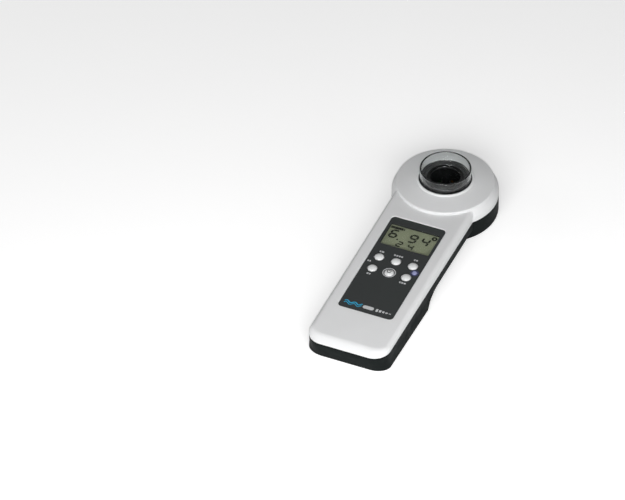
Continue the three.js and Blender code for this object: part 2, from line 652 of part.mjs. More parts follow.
// ---------------------------------------------------------------- fasteners, gasket and rating plate
// A pan-head screw that points up, with a square driver recess.
function screwBody(headRadius, shankRadius, low, seat, tip, x, y) {
  const points = [[0, low], [headRadius - 0.4, low], [headRadius, low + 0.4], [headRadius, seat]];
  points.push([shankRadius, seat], [shankRadius, tip - 0.8], [0.3, tip], [0, tip]);
  const recess = block(headRadius * 0.75, headRadius * 0.75, low - 1, low + 0.6, x, y);
  return cut(turned(points, 10, x, y), recess);
}

function addScrews() {
  const tips = [17, 17, 14.8];
  let count = 0;
  CASE_SCREWS.forEach((place, index) => {
    const seat = screwSeats[index][0];
    for (const [x, y] of mirrored([place])) {
      count += 1;
      const screw = screwBody(2.15, 1.05, seat - 1.9, seat - 0.2, tips[index], x, y);
      addPart(`case_screw_${count}`, screw, '#8f9294', 0.3, 1);
    }
  });
  mirrored(COVER_SCREWS).forEach(([x, y], index) => {
    const screw = screwBody(1.85, 0.95, COVER_Z + 0.05, COVER_Z + 0.85, 7.8, x, y);
    addPart(`cover_screw_${index + 1}`, screw, '#8f9294', 0.3, 1);
  });
}

// ---------------------------------------------------------------- assembly
addPart('upper_case', upperCase(), '#d4d5d5', 0.35);
addPart('lower_case', lowerCase(), '#2a2f30', 0.65);
addPart('case_gasket', outlineBand(0.85, 1.65, SEAM_Z - 1, SEAM_Z), '#101112', 0.8);
addPart('rating_plate', plate(31.6, 33.6, NECK_Z + 0.1, NECK_Z + 0.3, 0, 10, 1.3), '#b6b8ba', 0.4, 0.6);
addKeypad();
addLabel();
addDisplay();
addBoards();
addOptics();
addCuvette();
addBatteries();
addBatteryCover();
addScrews();

export default model;
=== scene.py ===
# A handheld water tester: detailed meshes, materials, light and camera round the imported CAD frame.
# Shapes are worked out in millimetres, and scaled to metres when a piece is finished.
import json
import math

import bmesh
import bpy
from mathutils import Matrix, Vector


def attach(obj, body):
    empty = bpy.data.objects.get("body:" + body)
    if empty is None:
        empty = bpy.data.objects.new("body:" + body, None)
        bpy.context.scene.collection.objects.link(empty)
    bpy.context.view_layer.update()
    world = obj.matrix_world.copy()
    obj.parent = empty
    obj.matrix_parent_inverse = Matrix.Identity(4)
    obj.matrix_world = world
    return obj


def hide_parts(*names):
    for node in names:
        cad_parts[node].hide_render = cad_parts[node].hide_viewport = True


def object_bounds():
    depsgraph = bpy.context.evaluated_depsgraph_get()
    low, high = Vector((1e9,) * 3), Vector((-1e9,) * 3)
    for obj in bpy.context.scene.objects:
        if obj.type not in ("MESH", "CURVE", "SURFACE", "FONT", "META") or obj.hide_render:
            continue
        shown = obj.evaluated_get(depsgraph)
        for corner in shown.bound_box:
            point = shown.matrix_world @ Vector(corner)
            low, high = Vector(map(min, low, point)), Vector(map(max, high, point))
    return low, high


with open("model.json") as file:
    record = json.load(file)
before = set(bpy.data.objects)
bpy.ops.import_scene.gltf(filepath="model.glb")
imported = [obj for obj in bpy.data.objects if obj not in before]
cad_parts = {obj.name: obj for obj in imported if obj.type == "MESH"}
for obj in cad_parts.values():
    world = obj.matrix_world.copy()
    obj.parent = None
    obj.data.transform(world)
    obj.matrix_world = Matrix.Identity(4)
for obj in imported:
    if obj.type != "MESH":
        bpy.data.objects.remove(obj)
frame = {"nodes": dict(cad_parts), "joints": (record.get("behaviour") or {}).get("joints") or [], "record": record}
cad_low, cad_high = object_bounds()

MM = 0.001
TURN = 2 * math.pi
QUARTER = math.pi / 2

# -------- sizes, in millimetres
WALL, GAP = 2.4, 0.3
OVER = 1.0  # how far a cutting tool reaches past what it cuts
ACROSS = 40.0  # half the width of a tool that cuts across the whole tester
WELD = 1e-4  # points that are closer than this become one

# The handle: its outline, its rounded sides and its bevelled end.
HALF_WIDTH, END_HALF_WIDTH, CORNER_RADIUS, CORNER_STEPS = 28.0, 27.5, 11.0, 20
SIDE_ROUND, SIDE_STRAIGHT = 3.2, 0.45  # the straight part is a share of the side's height
END_REACH, BEVEL_REACH, BEVEL_FOOT = 6.3, 4.4, 0.8
BEVEL_CREASE, BEVEL_FOOT_ROUND = 6.0, 1.3
DECK_INSET = 0.4

# The head: radius and height of its profile's corners, and the radii that round them.
HEAD_SEGMENTS, ROUND_SEGMENTS, SEAM_EDGE = 256, 192, 0.15
LEAN_START_Z, LEAN_ROUND = 17.2, 4.0
DISC_FOOT, DISC_FOOT_ROUND = (32.65, 21.0), 3.0
DISC_EDGE, DISC_ROUND = (32.45, 23.1), 1.0
LIP_FOOT, LIP_FOOT_ROUND = (19.1, 25.1), 0.5
LIP_TOP_RADIUS, LIP_ROUND = 18.35, 0.3
SOCKET_RADIUS, SOCKET_EDGE = 17.6, 0.12

# The lower case: its end leans in below UPRIGHT_Z. The foot of its sides stands out by FLARE at the end,
# and by SPLAY more at the head's centre.
END_SLANT = 2.8
NECK_SLANT = END_SLANT * 0.45
UPRIGHT_Z = 11.3
FLARE, SPLAY = 0.6, 2.0
FOOT_ROUND = 1.0
NECK_Z = 6.6
ARCH_START_Y, ARCH_BEND_Y, ARCH_CURVE_END = -12.0, -18.5, (-24.5, 4.1)
BULGE_Y = -34.2
NECK_FLOOR_Z, BULGE_FLOOR_Z, HEAD_FLOOR_Z = 8.8, 4.4, 2.4
BAY_HALF_WIDTH, BAY_FAR, BAY_NEAR, BAY_ROOF = 17.0, -37.5, -86.5, 14.0
BAY_LENGTH, BAY_Y = BAY_FAR - BAY_NEAR, (BAY_FAR + BAY_NEAR) / 2
COVER_SKIN, COVER_CORNER = 1.8, 4.0

# Bosses and holes for the screws; the case screws come in three pairs, at the neck, the head and the end.
BOSS_RADIUS, CASE_HOLE, COVER_HOLE, HOLE_SEGMENTS = 2.8, 1.35, 1.2, 24
UPPER_BOSS_TOPS = [18.6, 18.6, 22, 22, 16.3, 16.3]
CASE_SCREW_SEATS = [9.2, 9.2, 6, 6, 4, 4]
CASE_SCREW_UNDERSIDES = [NECK_Z, NECK_Z, 0, 0, 0, 0]
BOSS_GAP = 0.25

# Heights on the deck are measured from its surface.
LABEL_CORNER, RECESS_GAP, RECESS_EDGE = 2.6, 0.2, 0.45
LABEL_TOP, LABEL_THICK, RECESS_DEPTH = -0.4, 0.3, 0.8
INK = (LABEL_TOP + 0.005, LABEL_TOP + 0.04)  # the print's underside and top
THROUGH_CASE, THROUGH_LABEL = (-6, 4), (-2, 2)
WINDOW_WIDTH, WINDOW_LENGTH = 34.0, 20.6
KEY_HOLE, KEY_RADIUS, KEY_CROWN = 3.5, 3.15, 1.7
OPTIC_Z, OPTIC_RADIUS, OPTIC_HALF = 12.5, 18.0, 3.5

KEYS = ["key_1", "key_2", "key_3", "key_4", "key_power", "key_5"]
CASE_SCREWS = [f"case_screw_{i}" for i in range(1, 7)]
COVER_SCREWS = [f"cover_screw_{i}" for i in range(1, 5)]


# -------- measures taken from the frame
def extent(name, space=None):
    """Lowest and highest corner of a CAD node, in millimetres, in the model's frame or another space."""
    inverse = (space or Matrix.Identity(4)).inverted()
    points = [inverse @ (vertex.co / MM) for vertex in frame["nodes"][name].data.vertices]
    low = Vector([min(point[axis] for point in points) for axis in range(3)])
    high = Vector([max(point[axis] for point in points) for axis in range(3)])
    return low, high


def middle(name, space=None):
    low, high = extent(name, space)
    return (low + high) / 2


HEAD_RADIUS = cad_high.x / MM
HEAD_Y = cad_high.y / MM - HEAD_RADIUS
END_Y = cad_low.y / MM
SEAM_HIGH, LIP_Z = [corner.z for corner in extent("upper_case")]
SEAM_LOW = SEAM_HIGH - GAP

press_axis = next(joint["axis"] for joint in frame["joints"] if joint["name"] == "key_1_press")
deck_angle = math.atan2(press_axis[1], -press_axis[2])
deck_origin = middle("front_label") - Vector(press_axis) * (LABEL_THICK / 2 - LABEL_TOP)
DECK = Matrix.Translation(deck_origin) @ Matrix.Rotation(deck_angle, 4, "X")
WINDOW = middle("display_window", DECK)
GUIDE = middle("status_light_guide", DECK)
GUIDE_LOW, GUIDE_HIGH = extent("status_light_guide", DECK)
GUIDE_RADIUS = (GUIDE_HIGH.x - GUIDE_LOW.x) / 2
KEY_PLACES = [middle(key, DECK).xy for key in KEYS]
CASE_SCREW_PLACES = [middle(screw).xy for screw in CASE_SCREWS]
COVER_SCREW_PLACES = [middle(screw).xy for screw in COVER_SCREWS]


def deck_height(y):
    return deck_origin.z + (y - deck_origin.y) * math.tan(deck_angle)


# -------- drafting meshes
def placed(name, data):
    made = bpy.data.objects.new(name, data)
    bpy.context.scene.collection.objects.link(made)
    return made


def build(points, faces):
    """A closed mesh whose faces all look outwards."""
    mesh = bpy.data.meshes.new("draft")
    mesh.from_pydata([tuple(point) for point in points], [], faces)
    work = bmesh.new()
    work.from_mesh(mesh)
    bmesh.ops.recalc_face_normals(work, faces=work.faces)
    work.to_mesh(mesh)
    work.free()
    return placed("draft", mesh)


def combine(body, operation, *tools):
    for tool in tools:
        modifier = body.modifiers.new("combine", "BOOLEAN")
        modifier.operation = operation
        modifier.solver = "MANIFOLD"
        modifier.object = tool
    bake(body)
    for tool in tools:
        bpy.data.meshes.remove(tool.data)
    return body


def bake(body):
    """Replace a draft's mesh with the result of its modifiers."""
    depsgraph = bpy.context.evaluated_depsgraph_get()
    result = bpy.data.meshes.new_from_object(body.evaluated_get(depsgraph), depsgraph=depsgraph)
    old = body.data
    body.modifiers.clear()
    body.data = result
    bpy.data.meshes.remove(old)


def cut(body, *tools):
    return combine(body, "DIFFERENCE", *tools)


def join(body, *others):
    return combine(body, "UNION", *others)


def merged(drafts):
    """Several separate drafts as one mesh, without a boolean."""
    work = bmesh.new()
    for draft in drafts:
        work.from_mesh(draft.data)
        bpy.data.meshes.remove(draft.data)
    mesh = bpy.data.meshes.new("draft")
    work.to_mesh(mesh)
    work.free()
    return placed("draft", mesh)


def moved(draft, matrix):
    draft.data.transform(matrix)
    return draft


def on_deck(draft):
    return moved(draft, DECK)


def rounded(corners, steps=6):
    """A polyline through 2-D corners; a corner's third number is the radius that rounds it."""
    points = []
    for index, corner in enumerate(corners):
        if len(corner) == 2:
            points.append(tuple(corner))
            continue
        here = Vector(corner[:2])
        back = (Vector(corners[index - 1][:2]) - here).normalized()
        ahead = (Vector(corners[index + 1][:2]) - here).normalized()
        half = back.angle(ahead) / 2
        centre = here + (back + ahead).normalized() * (corner[2] / math.sin(half))
        reach = corner[2] / math.tan(half)
        start, end = here + back * reach - centre, here + ahead * reach - centre
        first = math.atan2(start.y, start.x)
        sweep = (math.atan2(end.y, end.x) - first + math.pi) % TURN - math.pi
        for step in range(steps + 1):
            angle = first + sweep * step / steps
            points.append((centre.x + corner[2] * math.cos(angle), centre.y + corner[2] * math.sin(angle)))
    return points


def turned(profile, segments=96, x=0.0, y=0.0, closed=False):
    """A piece turned about a vertical axis; the profile's points are (radius, height)."""
    points, rows = [], []
    for radius, height in profile:
        first = len(points)
        if radius < 1e-6:
            points.append((x, y, height))
            rows.append([first] * segments)
            continue
        for segment in range(segments):
            angle = TURN * segment / segments
            points.append((x + radius * math.cos(angle), y + radius * math.sin(angle), height))
        rows.append(list(range(first, first + segments)))
    faces = []
    for lower, upper in zip(rows, rows[1:] + rows[:1] if closed else rows[1:]):
        for i in range(segments):
            j = (i + 1) % segments
            face = list(dict.fromkeys([lower[i], lower[j], upper[j], upper[i]]))
            if len(face) > 2:
                faces.append(face)
    return build(points, faces)


def rod(radius, low, high, x=0.0, y=0.0, segments=48, edge=0.0):
    if edge:
        profile = rounded([(0, low), (radius, low, edge), (radius, high, edge), (0, high)], 4)
    else:
        profile = [(0, low), (radius, low), (radius, high), (0, high)]
    return turned(profile, segments, x, y)


def quarter_turn(steps):
    return [QUARTER * step / steps for step in range(steps + 1)]


def upper_edge(radius, top, steps=4):
    """A rounded edge up to the height top, as (inset, height); at a hole's mouth the inset widens it."""
    return [(radius * (1 - math.cos(t)), top - radius + radius * math.sin(t)) for t in quarter_turn(steps)]


def lower_edge(radius, low, steps=4):
    """A rounded edge from the height low upwards, as (inset, height)."""
    return [(radius * (1 - math.sin(t)), low + radius * (1 - math.cos(t))) for t in quarter_turn(steps)]


def hole(radius, low, top, x, y, edge, segments):
    """A tool for a round hole with a rounded mouth at the height top."""
    profile = [(0, low), (radius, low)] + [(radius + wide, z) for wide, z in upper_edge(edge, top, 6)]
    return turned(profile + [(radius + edge, top + OVER), (0, top + OVER)], segments, x, y)


def loft(rings):
    """A closed skin through rings of points, each ring anticlockwise and above the one before."""
    count = len(rings[0])
    points = [point for ring in rings for point in ring]
    faces = [list(range(count))[::-1], [len(points) - count + i for i in range(count)]]
    for level in range(len(rings) - 1):
        first = level * count
        for i in range(count):
            j = (i + 1) % count
            faces.append([first + i, first + j, first + count + j, first + count + i])
    return build(points, faces)


def rectangle_ring(width, length, z, x, y, corner, steps=8):
    ring = []
    for index, (sx, sy) in enumerate([(1, -1), (1, 1), (-1, 1), (-1, -1)]):
        centre = Vector((x + sx * (width / 2 - corner), y + sy * (length / 2 - corner)))
        for step in range(steps + 1):
            angle = -QUARTER + QUARTER * (index + step / steps)
            ring.append((centre.x + corner * math.cos(angle), centre.y + corner * math.sin(angle), z))
    return ring


def stepped(width, length, x, y, corner, levels, steps=8):
    """A rounded rectangle whose size changes with height; levels are (widening on each side, height)."""
    sizes = [(width + 2 * wide, length + 2 * wide, z, max(corner + wide, 0.02)) for wide, z in levels]
    return loft([rectangle_ring(wide, long, z, x, y, radius, steps) for wide, long, z, radius in sizes])


def plate(width, length, low, high, x=0.0, y=0.0, corner=1.0, top=0.0, bottom=0.0, steps=8):
    """A rounded rectangle between two heights; top and bottom are the radii of its rounded edges."""
    levels = lower_edge(bottom, low) if bottom else [(0, low)]
    levels += upper_edge(top, high) if top else [(0, high)]
    return stepped(width, length, x, y, corner, [(-inset, z) for inset, z in levels], steps)


def pocket(width, length, low, top, corner, edge):
    """A tool for a rounded rectangular hole with a rounded mouth at the height top."""
    return stepped(width, length, 0, 0, corner, [(0, low), *upper_edge(edge, top, 5), (edge, top + OVER)], 10)


def fitted(name, space=None, corner=1.0, top=0.0, bottom=0.0):
    """A plate as large as a CAD node."""
    low, high = extent(name, space)
    x, y, _ = (low + high) / 2
    return plate(high.x - low.x, high.y - low.y, low.z, high.z, x, y, corner, top, bottom)


def block(width, length, low, high, x=0.0, y=0.0):
    return plate(width, length, low, high, x, y, corner=0.02, steps=1)


def across_x(outline):
    """A side view in Y and Z, stretched across the whole tester."""
    count = len(outline)
    points = [(side * ACROSS, y, z) for side in (-1, 1) for y, z in outline]
    faces = [list(range(count)), list(range(count, 2 * count))[::-1]]
    for i in range(count):
        j = (i + 1) % count
        faces.append([i, j, count + j, count + i])
    return build(points, faces)


def tube(path, radius, sides=12):
    """A round wire along a list of points, closed at both ends."""
    rings = []
    for index, point in enumerate(path):
        ahead = path[min(index + 1, len(path) - 1)] - path[max(index - 1, 0)]
        across = ahead.cross(Vector((0, 0, 1))).normalized()
        up = across.cross(ahead).normalized()
        angles = [TURN * side / sides for side in range(sides)]
        rings.append([point + across * radius * math.cos(a) + up * radius * math.sin(a) for a in angles])
    return loft(rings)


# -------- the handle's outline
def handle_ring(at, splay=0.0):
    """One ring round the handle. at(endness) gives an inset and a function from y to height.

    endness is 0 on a side and 1 on the end."""
    side_inset = at(0)[0]
    end_inset = at(1)[0]
    centre_x = END_HALF_WIDTH - CORNER_RADIUS
    centre_y = END_Y + CORNER_RADIUS
    right = []
    for angle in quarter_turn(CORNER_STEPS):
        x = centre_x + (CORNER_RADIUS - side_inset) * math.sin(angle)
        y = centre_y - (CORNER_RADIUS - end_inset) * math.cos(angle)
        right.append((x, y, at(math.cos(angle) ** 2)[1](y)))
    right.append((HALF_WIDTH - side_inset + splay, HEAD_Y, at(0)[1](HEAD_Y)))
    return right + [(-x, y, z) for x, y, z in reversed(right)]


def flat_ring(inset, z, end_inset=None, splay=0.0):
    end = inset if end_inset is None else end_inset
    return handle_ring(lambda endness: (inset + (end - inset) * endness, lambda y: z), splay)


def end_bevel():
    """Points up the handle's end, as shares of the reach and of the height: a bevel with a soft crease."""
    height = deck_height(END_Y) - SEAM_HIGH
    foot, crease = (0, BEVEL_FOOT, BEVEL_FOOT_ROUND), (BEVEL_REACH, height, BEVEL_CREASE)
    points = rounded([(0, 0), foot, crease, (END_REACH, height)], 8)
    return [(reach / END_REACH, z / height) for reach, z in points[1:]]


def upper_handle(inset, drop, side_round, end_reach, low):
    """The handle's upper half: upright at the seam, its sides rounded over to the deck, its end bevelled."""
    bevel = end_bevel()

    def level(index, beyond=0.0):
        reach, end_share = bevel[index]
        turn = QUARTER * index / (len(bevel) - 1)
        side_inset = side_round * (1 - math.cos(turn))
        side_share = SIDE_STRAIGHT + (1 - SIDE_STRAIGHT) * math.sin(turn)

        def at(endness):
            share = side_share + (end_share - side_share) * endness
            height = lambda y: low + (deck_height(y) - drop - low) * share
            return inset + side_inset + (end_reach * reach - side_inset) * endness + beyond, height

        return handle_ring(at)

    levels = [level(index) for index in range(len(bevel))]
    return loft([flat_ring(inset, low)] + levels + [level(len(bevel) - 1, DECK_INSET)])


def lower_handle():
    edge = lower_edge(FOOT_ROUND, 0, 6)
    rings = [flat_ring(inset - FLARE, z, inset + END_SLANT, SPLAY) for inset, z in edge]
    return loft(rings + [flat_ring(0, NECK_Z, NECK_SLANT), flat_ring(0, UPRIGHT_Z), flat_ring(0, SEAM_LOW)])


def outline_band(outer, inner, low, high):
    """The band between two insets of the whole outline, handle and head together."""

    def filled(inset, bottom, top):
        handle = loft([flat_ring(inset, bottom), flat_ring(inset, top)])
        return join(handle, rod(HEAD_RADIUS - inset, bottom, top, 0, HEAD_Y, ROUND_SEGMENTS))

    return cut(filled(outer, low, high), filled(inner, low - OVER, high + OVER))


# -------- node graphs
def node(tree, kind, inputs=None, **settings):
    """One shader node: inputs are numbers, colours or other nodes' outputs."""
    made = tree.nodes.new("ShaderNode" + kind)
    for key, value in settings.items():
        setattr(made, key, value)
    for key, value in (inputs or {}).items():
        if isinstance(value, bpy.types.NodeSocket):
            tree.links.new(value, made.inputs[key])
        else:
            made.inputs[key].default_value = value
    return made


def new_material(name):
    """A material, its empty node tree and the object's own coordinates."""
    material = bpy.data.materials.new(name)
    material.use_nodes = True
    tree = material.node_tree
    tree.nodes.clear()
    return material, tree, node(tree, "TexCoord").outputs["Object"]


def surfaced(material, shader):
    node(material.node_tree, "OutputMaterial", {"Surface": shader})
    return material


def principled(tree, inputs):
    return node(tree, "BsdfPrincipled", inputs).outputs[0]


def bumped(tree, height, depth, strength=1.0):
    """The normal of a surface whose height varies by depth millimetres."""
    inputs = {"Height": height, "Distance": depth * MM, "Strength": strength}
    return node(tree, "Bump", inputs).outputs["Normal"]


def noise(tree, place, size, detail=2.0, roughness=0.5):
    """Noise from 0 to 1, whose features are about size millimetres across."""
    inputs = {"Vector": place, "Scale": 1 / (size * MM), "Detail": detail, "Roughness": roughness}
    return node(tree, "TexNoise", inputs).outputs["Fac"]


def spread(tree, value, low, high, start=0.3, end=0.7):
    """A value between start and end, mapped to the range from low to high."""
    inputs = {"Value": value, "From Min": start, "From Max": end, "To Min": low, "To Max": high}
    return node(tree, "MapRange", inputs).outputs["Result"]


def mixed(tree, share, first, second):
    made = node(tree, "Mix", data_type="RGBA")
    for socket, value in zip((made.inputs[0], made.inputs[6], made.inputs[7]), (share, first, second)):
        if isinstance(value, bpy.types.NodeSocket):
            tree.links.new(value, socket)
        else:
            socket.default_value = value
    return made.outputs[2]


def tint(colour, factor):
    return (*[min(1.0, channel * factor) for channel in colour], 1.0)


def tinted(tree, share, colour, low, high):
    """A colour that varies between two of its tints."""
    return mixed(tree, spread(tree, share, 0, 1), tint(colour, low), tint(colour, high))


def edge_mask(tree, radius):
    """1 on edges tighter than the radius, 0 on even surfaces."""
    soft = node(tree, "Bevel", {"Radius": radius * MM}, samples=6).outputs["Normal"]
    true = node(tree, "NewGeometry").outputs["Normal"]
    dot = node(tree, "VectorMath", {0: soft, 1: true}, operation="DOT_PRODUCT").outputs["Value"]
    return spread(tree, dot, 1.0, 0.0, 0.86, 0.99)


def moulded(name, colour, roughness, grain, depth, mottle=0.05, wear=1.25, metallic=0.0, coat=0.0,
            specular=0.5):
    """Plastic, rubber or metal: uneven colour, smudged gloss, fine grain and paler edges.

    grain is the size of the surface texture and depth its height, both in millimetres."""
    material, tree, place = new_material(name)
    cloud = noise(tree, place, size=14, detail=3)
    speck = noise(tree, place, size=0.8)
    smudge = noise(tree, place, size=6, detail=4, roughness=0.6)
    broad = tinted(tree, cloud, colour, 1 - mottle, 1 + mottle)
    fine = mixed(tree, spread(tree, speck, 0, 0.35), broad, tint(colour, 1 - 2 * mottle))
    edges = {0: edge_mask(tree, radius=0.35), 1: spread(tree, smudge, 0.1, 0.7)}
    worn = node(tree, "Math", edges, operation="MULTIPLY").outputs[0]
    return surfaced(material, principled(tree, {
        "Base Color": mixed(tree, worn, fine, tint(colour, wear)),
        "Roughness": spread(tree, smudge, roughness * 0.85, min(1, roughness * 1.2)),
        "Normal": bumped(tree, noise(tree, place, grain), depth),
        "Metallic": metallic, "Specular IOR Level": specular, "Coat Weight": coat, "Coat Roughness": 0.12,
    }))


def brushed(name, colour, roughness, along):
    """Metal with fine drawn lines along one axis."""
    material, tree, place = new_material(name)
    stretch = [0.04 if axis == along else 1.0 for axis in "XYZ"]
    drawn = node(tree, "Mapping", {"Vector": place, "Scale": stretch}).outputs[0]
    lines = noise(tree, drawn, size=0.25, detail=3)
    return surfaced(material, principled(tree, {
        "Base Color": tinted(tree, noise(tree, place, size=5, detail=3), colour, 0.86, 1.1),
        "Roughness": spread(tree, lines, roughness * 0.7, roughness * 1.3),
        "Normal": bumped(tree, lines, depth=0.004, strength=0.8),
        "Metallic": 1.0,
    }))


def clear(name, colour, roughness=0.03):
    """Clear plastic; lamps shine through it, and fine moulding waves bend what is seen behind."""
    material, tree, place = new_material(name)
    smudge = noise(tree, place, size=5, detail=4)
    shader = principled(tree, {
        "Base Color": tinted(tree, smudge, colour, 0.985, 1.0),
        "Roughness": spread(tree, smudge, roughness * 0.6, roughness * 1.6),
        "Normal": bumped(tree, noise(tree, place, size=3.5), depth=0.012, strength=0.6),
        "IOR": 1.49, "Transmission Weight": 1.0,
    })
    light = node(tree, "BsdfTransparent", {"Color": tint(colour, 0.96)}).outputs[0]
    share = node(tree, "LightPath").outputs["Is Shadow Ray"]
    return surfaced(material, node(tree, "MixShader", {0: share, 1: shader, 2: light}).outputs[0])


def display_glass(name, colour):
    """The liquid crystal panel: uneven olive grey with a faint grain."""
    material, tree, place = new_material(name)
    cloud = noise(tree, place, size=9, detail=3)
    grain = noise(tree, place, size=0.35)
    broad = tinted(tree, cloud, colour, 0.94, 1.06)
    return surfaced(material, principled(tree, {
        "Base Color": mixed(tree, spread(tree, grain, 0, 0.3), broad, tint(colour, 0.85)),
        "Roughness": spread(tree, cloud, 0.28, 0.4),
        "Normal": bumped(tree, grain, depth=0.004),
        "IOR": 1.5,
    }))


def circuit_board(name, mask, trace):
    """Green solder mask over a faint pattern of copper tracks, in cells of about cell_size."""
    cell_size = 2.4
    material, tree, place = new_material(name)
    long = node(tree, "Mapping", {"Vector": place, "Scale": (1, 0.45, 1)}).outputs[0]
    inputs = {"Vector": long, "Scale": 1 / (cell_size * MM), "Randomness": 0.85}
    cells = node(tree, "TexVoronoi", inputs, feature="DISTANCE_TO_EDGE", distance="CHEBYCHEV").outputs[0]
    tracks = spread(tree, cells, 1, 0, 0.05, 0.09)
    cloud = noise(tree, place, size=8, detail=3)
    return surfaced(material, principled(tree, {
        "Base Color": mixed(tree, tracks, tinted(tree, cloud, mask, 0.85, 1.15), tint(trace, 1)),
        "Roughness": spread(tree, cloud, 0.25, 0.4),
        "Normal": bumped(tree, tracks, depth=0.03),
    }))


def striped(name, colour, stripe, pitch, roughness):
    """A flexible circuit: amber film with copper lines at an even pitch."""
    material, tree, place = new_material(name)
    inputs = {"Vector": place, "Scale": TURN / (20 * pitch * MM), "Distortion": 0.0}
    wave = node(tree, "TexWave", inputs, bands_direction="X").outputs["Fac"]
    cloud = noise(tree, place, size=7, detail=3)
    lines = spread(tree, wave, 0, 1, 0.45, 0.6)
    return surfaced(material, principled(tree, {
        "Base Color": mixed(tree, lines, tinted(tree, cloud, colour, 0.85, 1.15), tint(stripe, 1)),
        "Roughness": spread(tree, cloud, roughness * 0.8, roughness),
        "Normal": bumped(tree, lines, depth=0.02),
    }))


WHITE = moulded("satin_white", (0.78, 0.785, 0.79), 0.36, 0.5, 0.006, mottle=0.012, wear=1.1)
DARK = moulded("anthracite", (0.0060, 0.0090, 0.0088), 0.5, 0.45, 0.02, mottle=0.05, wear=1.6, specular=0.1)
FILM = moulded("label_film", (0.043, 0.047, 0.047), 0.42, 0.3, 0.008, mottle=0.03, wear=1.3, specular=0.22)
SILICONE = moulded("key_silicone", (0.74, 0.75, 0.75), 0.22, 0.4, 0.004, mottle=0.03, wear=1.05, coat=0.6)
PALE_INK = moulded("pale_ink", (0.62, 0.63, 0.64), 0.5, 0.3, 0.004, mottle=0.1, wear=1.0)
CYAN_INK = moulded("cyan_ink", (0.03, 0.38, 0.62), 0.45, 0.3, 0.004, mottle=0.08, wear=1.0)
BLUE_INK = moulded("blue_ink", (0.060, 0.064, 0.16), 0.45, 0.3, 0.004, mottle=0.12, wear=1.0)
SEGMENT = moulded(
    "display_segment", (0.006, 0.008, 0.004), 0.7, 0.3, 0.002, mottle=0.1, wear=1.0, specular=0.1
)
CARBON = moulded("carbon_pill", (0.02, 0.02, 0.02), 0.7, 0.3, 0.01, mottle=0.15)
MAT = moulded("mat_silicone", (0.28, 0.29, 0.30), 0.55, 0.6, 0.01, mottle=0.06, wear=1.15)
SEAL = moulded("seal_rubber", (0.012, 0.012, 0.013), 0.6, 0.4, 0.01, mottle=0.15, wear=1.6)
BLACK = moulded("black_plastic", (0.010, 0.010, 0.011), 0.5, 0.5, 0.012, mottle=0.12, wear=1.7)
# painted shade: a darker, less glossy black for the deep bore of the cuvette well
BORE_PAINTED_SHADE = moulded("bore_painted_shade", (0.0035, 0.0035, 0.0038), 0.75, 0.5, 0.012, mottle=0.15, wear=1.0, specular=0.06)
PANEL = moulded("light_panel", (0.80, 0.84, 0.68), 0.4, 0.8, 0.006, mottle=0.03, wear=1.05)
EPOXY = moulded("chip_epoxy", (0.018, 0.018, 0.020), 0.45, 0.25, 0.01, mottle=0.15, wear=1.8)
CREAM = moulded("socket_plastic", (0.70, 0.66, 0.55), 0.45, 0.4, 0.006, mottle=0.04)
# The lamps are dark tints of red, amber and green: partly their own tinted epoxy, and darker still as painted
# shade inside the optics block.
LAMPS = [moulded("lamp_" + name, colour, 0.2, 1.5, 0.002, mottle=0.06, coat=0.2) for name, colour in (
    ("red", (0.06, 0.005, 0.004)), ("amber", (0.05, 0.022, 0.004)), ("green", (0.005, 0.030, 0.007))
)]
DETECTOR = moulded("detector_epoxy", (0.02, 0.02, 0.03), 0.1, 1.5, 0.002, mottle=0.1, coat=0.6)
BLUE = moulded("guide_blue", (0.36, 0.38, 0.64), 0.18, 1.2, 0.003, mottle=0.06, coat=0.4)
SLEEVE = moulded("cell_sleeve", (0.03, 0.045, 0.07), 0.3, 0.9, 0.004, mottle=0.08, wear=1.6, coat=0.3)
BAND = moulded("cell_band", (0.55, 0.25, 0.10), 0.3, 0.9, 0.004, mottle=0.06, metallic=0.6)
CONTACT = brushed("contact_metal", (0.66, 0.62, 0.50), 0.25, "Z")
STEEL = brushed("screw_steel", (0.42, 0.43, 0.44), 0.3, "Z")
CAN = brushed("shield_can", (0.56, 0.57, 0.57), 0.3, "Y")
PLATE = brushed("plate_foil", (0.50, 0.51, 0.52), 0.35, "X")
ACRYLIC = clear("clear_acrylic", (0.95, 0.97, 0.965))
LENS = clear("lens_acrylic", (0.96, 0.97, 0.95), roughness=0.05)
LCD = display_glass("lcd_olive", (0.215, 0.235, 0.155))
BOARD = circuit_board("solder_mask", (0.02, 0.12, 0.05), (0.05, 0.24, 0.09))
RIBBON = striped("polyimide", (0.55, 0.24, 0.05), (0.30, 0.12, 0.03), 0.8, 0.35)


# -------- finishing pieces
def finish(draft, name, material, body="root", slot=None, replaces=None, sharp=32):
    mesh = draft.data
    draft.name = name
    work = bmesh.new()
    work.from_mesh(mesh)
    bmesh.ops.remove_doubles(work, verts=work.verts, dist=WELD)
    bmesh.ops.dissolve_degenerate(work, edges=work.edges, dist=WELD)
    work.to_mesh(mesh)
    work.free()
    mesh.transform(Matrix.Scale(MM, 4))
    mesh.materials.clear()
    mesh.materials.append(material)
    for polygon in mesh.polygons:
        polygon.use_smooth = True
        polygon.material_index = 0
    mesh.set_sharp_from_angle(angle=math.radians(sharp))
    draft.modifiers.new("normals", "WEIGHTED_NORMAL").keep_sharp = True
    bake(draft)
    draft.data.name = name
    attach(draft, body)
    if replaces:
        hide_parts(replaces)
    return draft


SLOTS = {row["node"]: row["material_slot"] for row in frame["record"]["subparts"]}


def paint(piece, pick, *materials):
    """Add materials, and give each face the one whose number pick returns for the face's middle."""
    for material in materials:
        piece.data.materials.append(material)
    for polygon in piece.data.polygons:
        polygon.material_index = pick(polygon.center / MM)


def stand_in(draft, name, material, body="root", sharp=32):
    """A detailed piece that stands for one CAD node."""
    return finish(draft, name + "_fine", material, body, SLOTS[name], name, sharp)


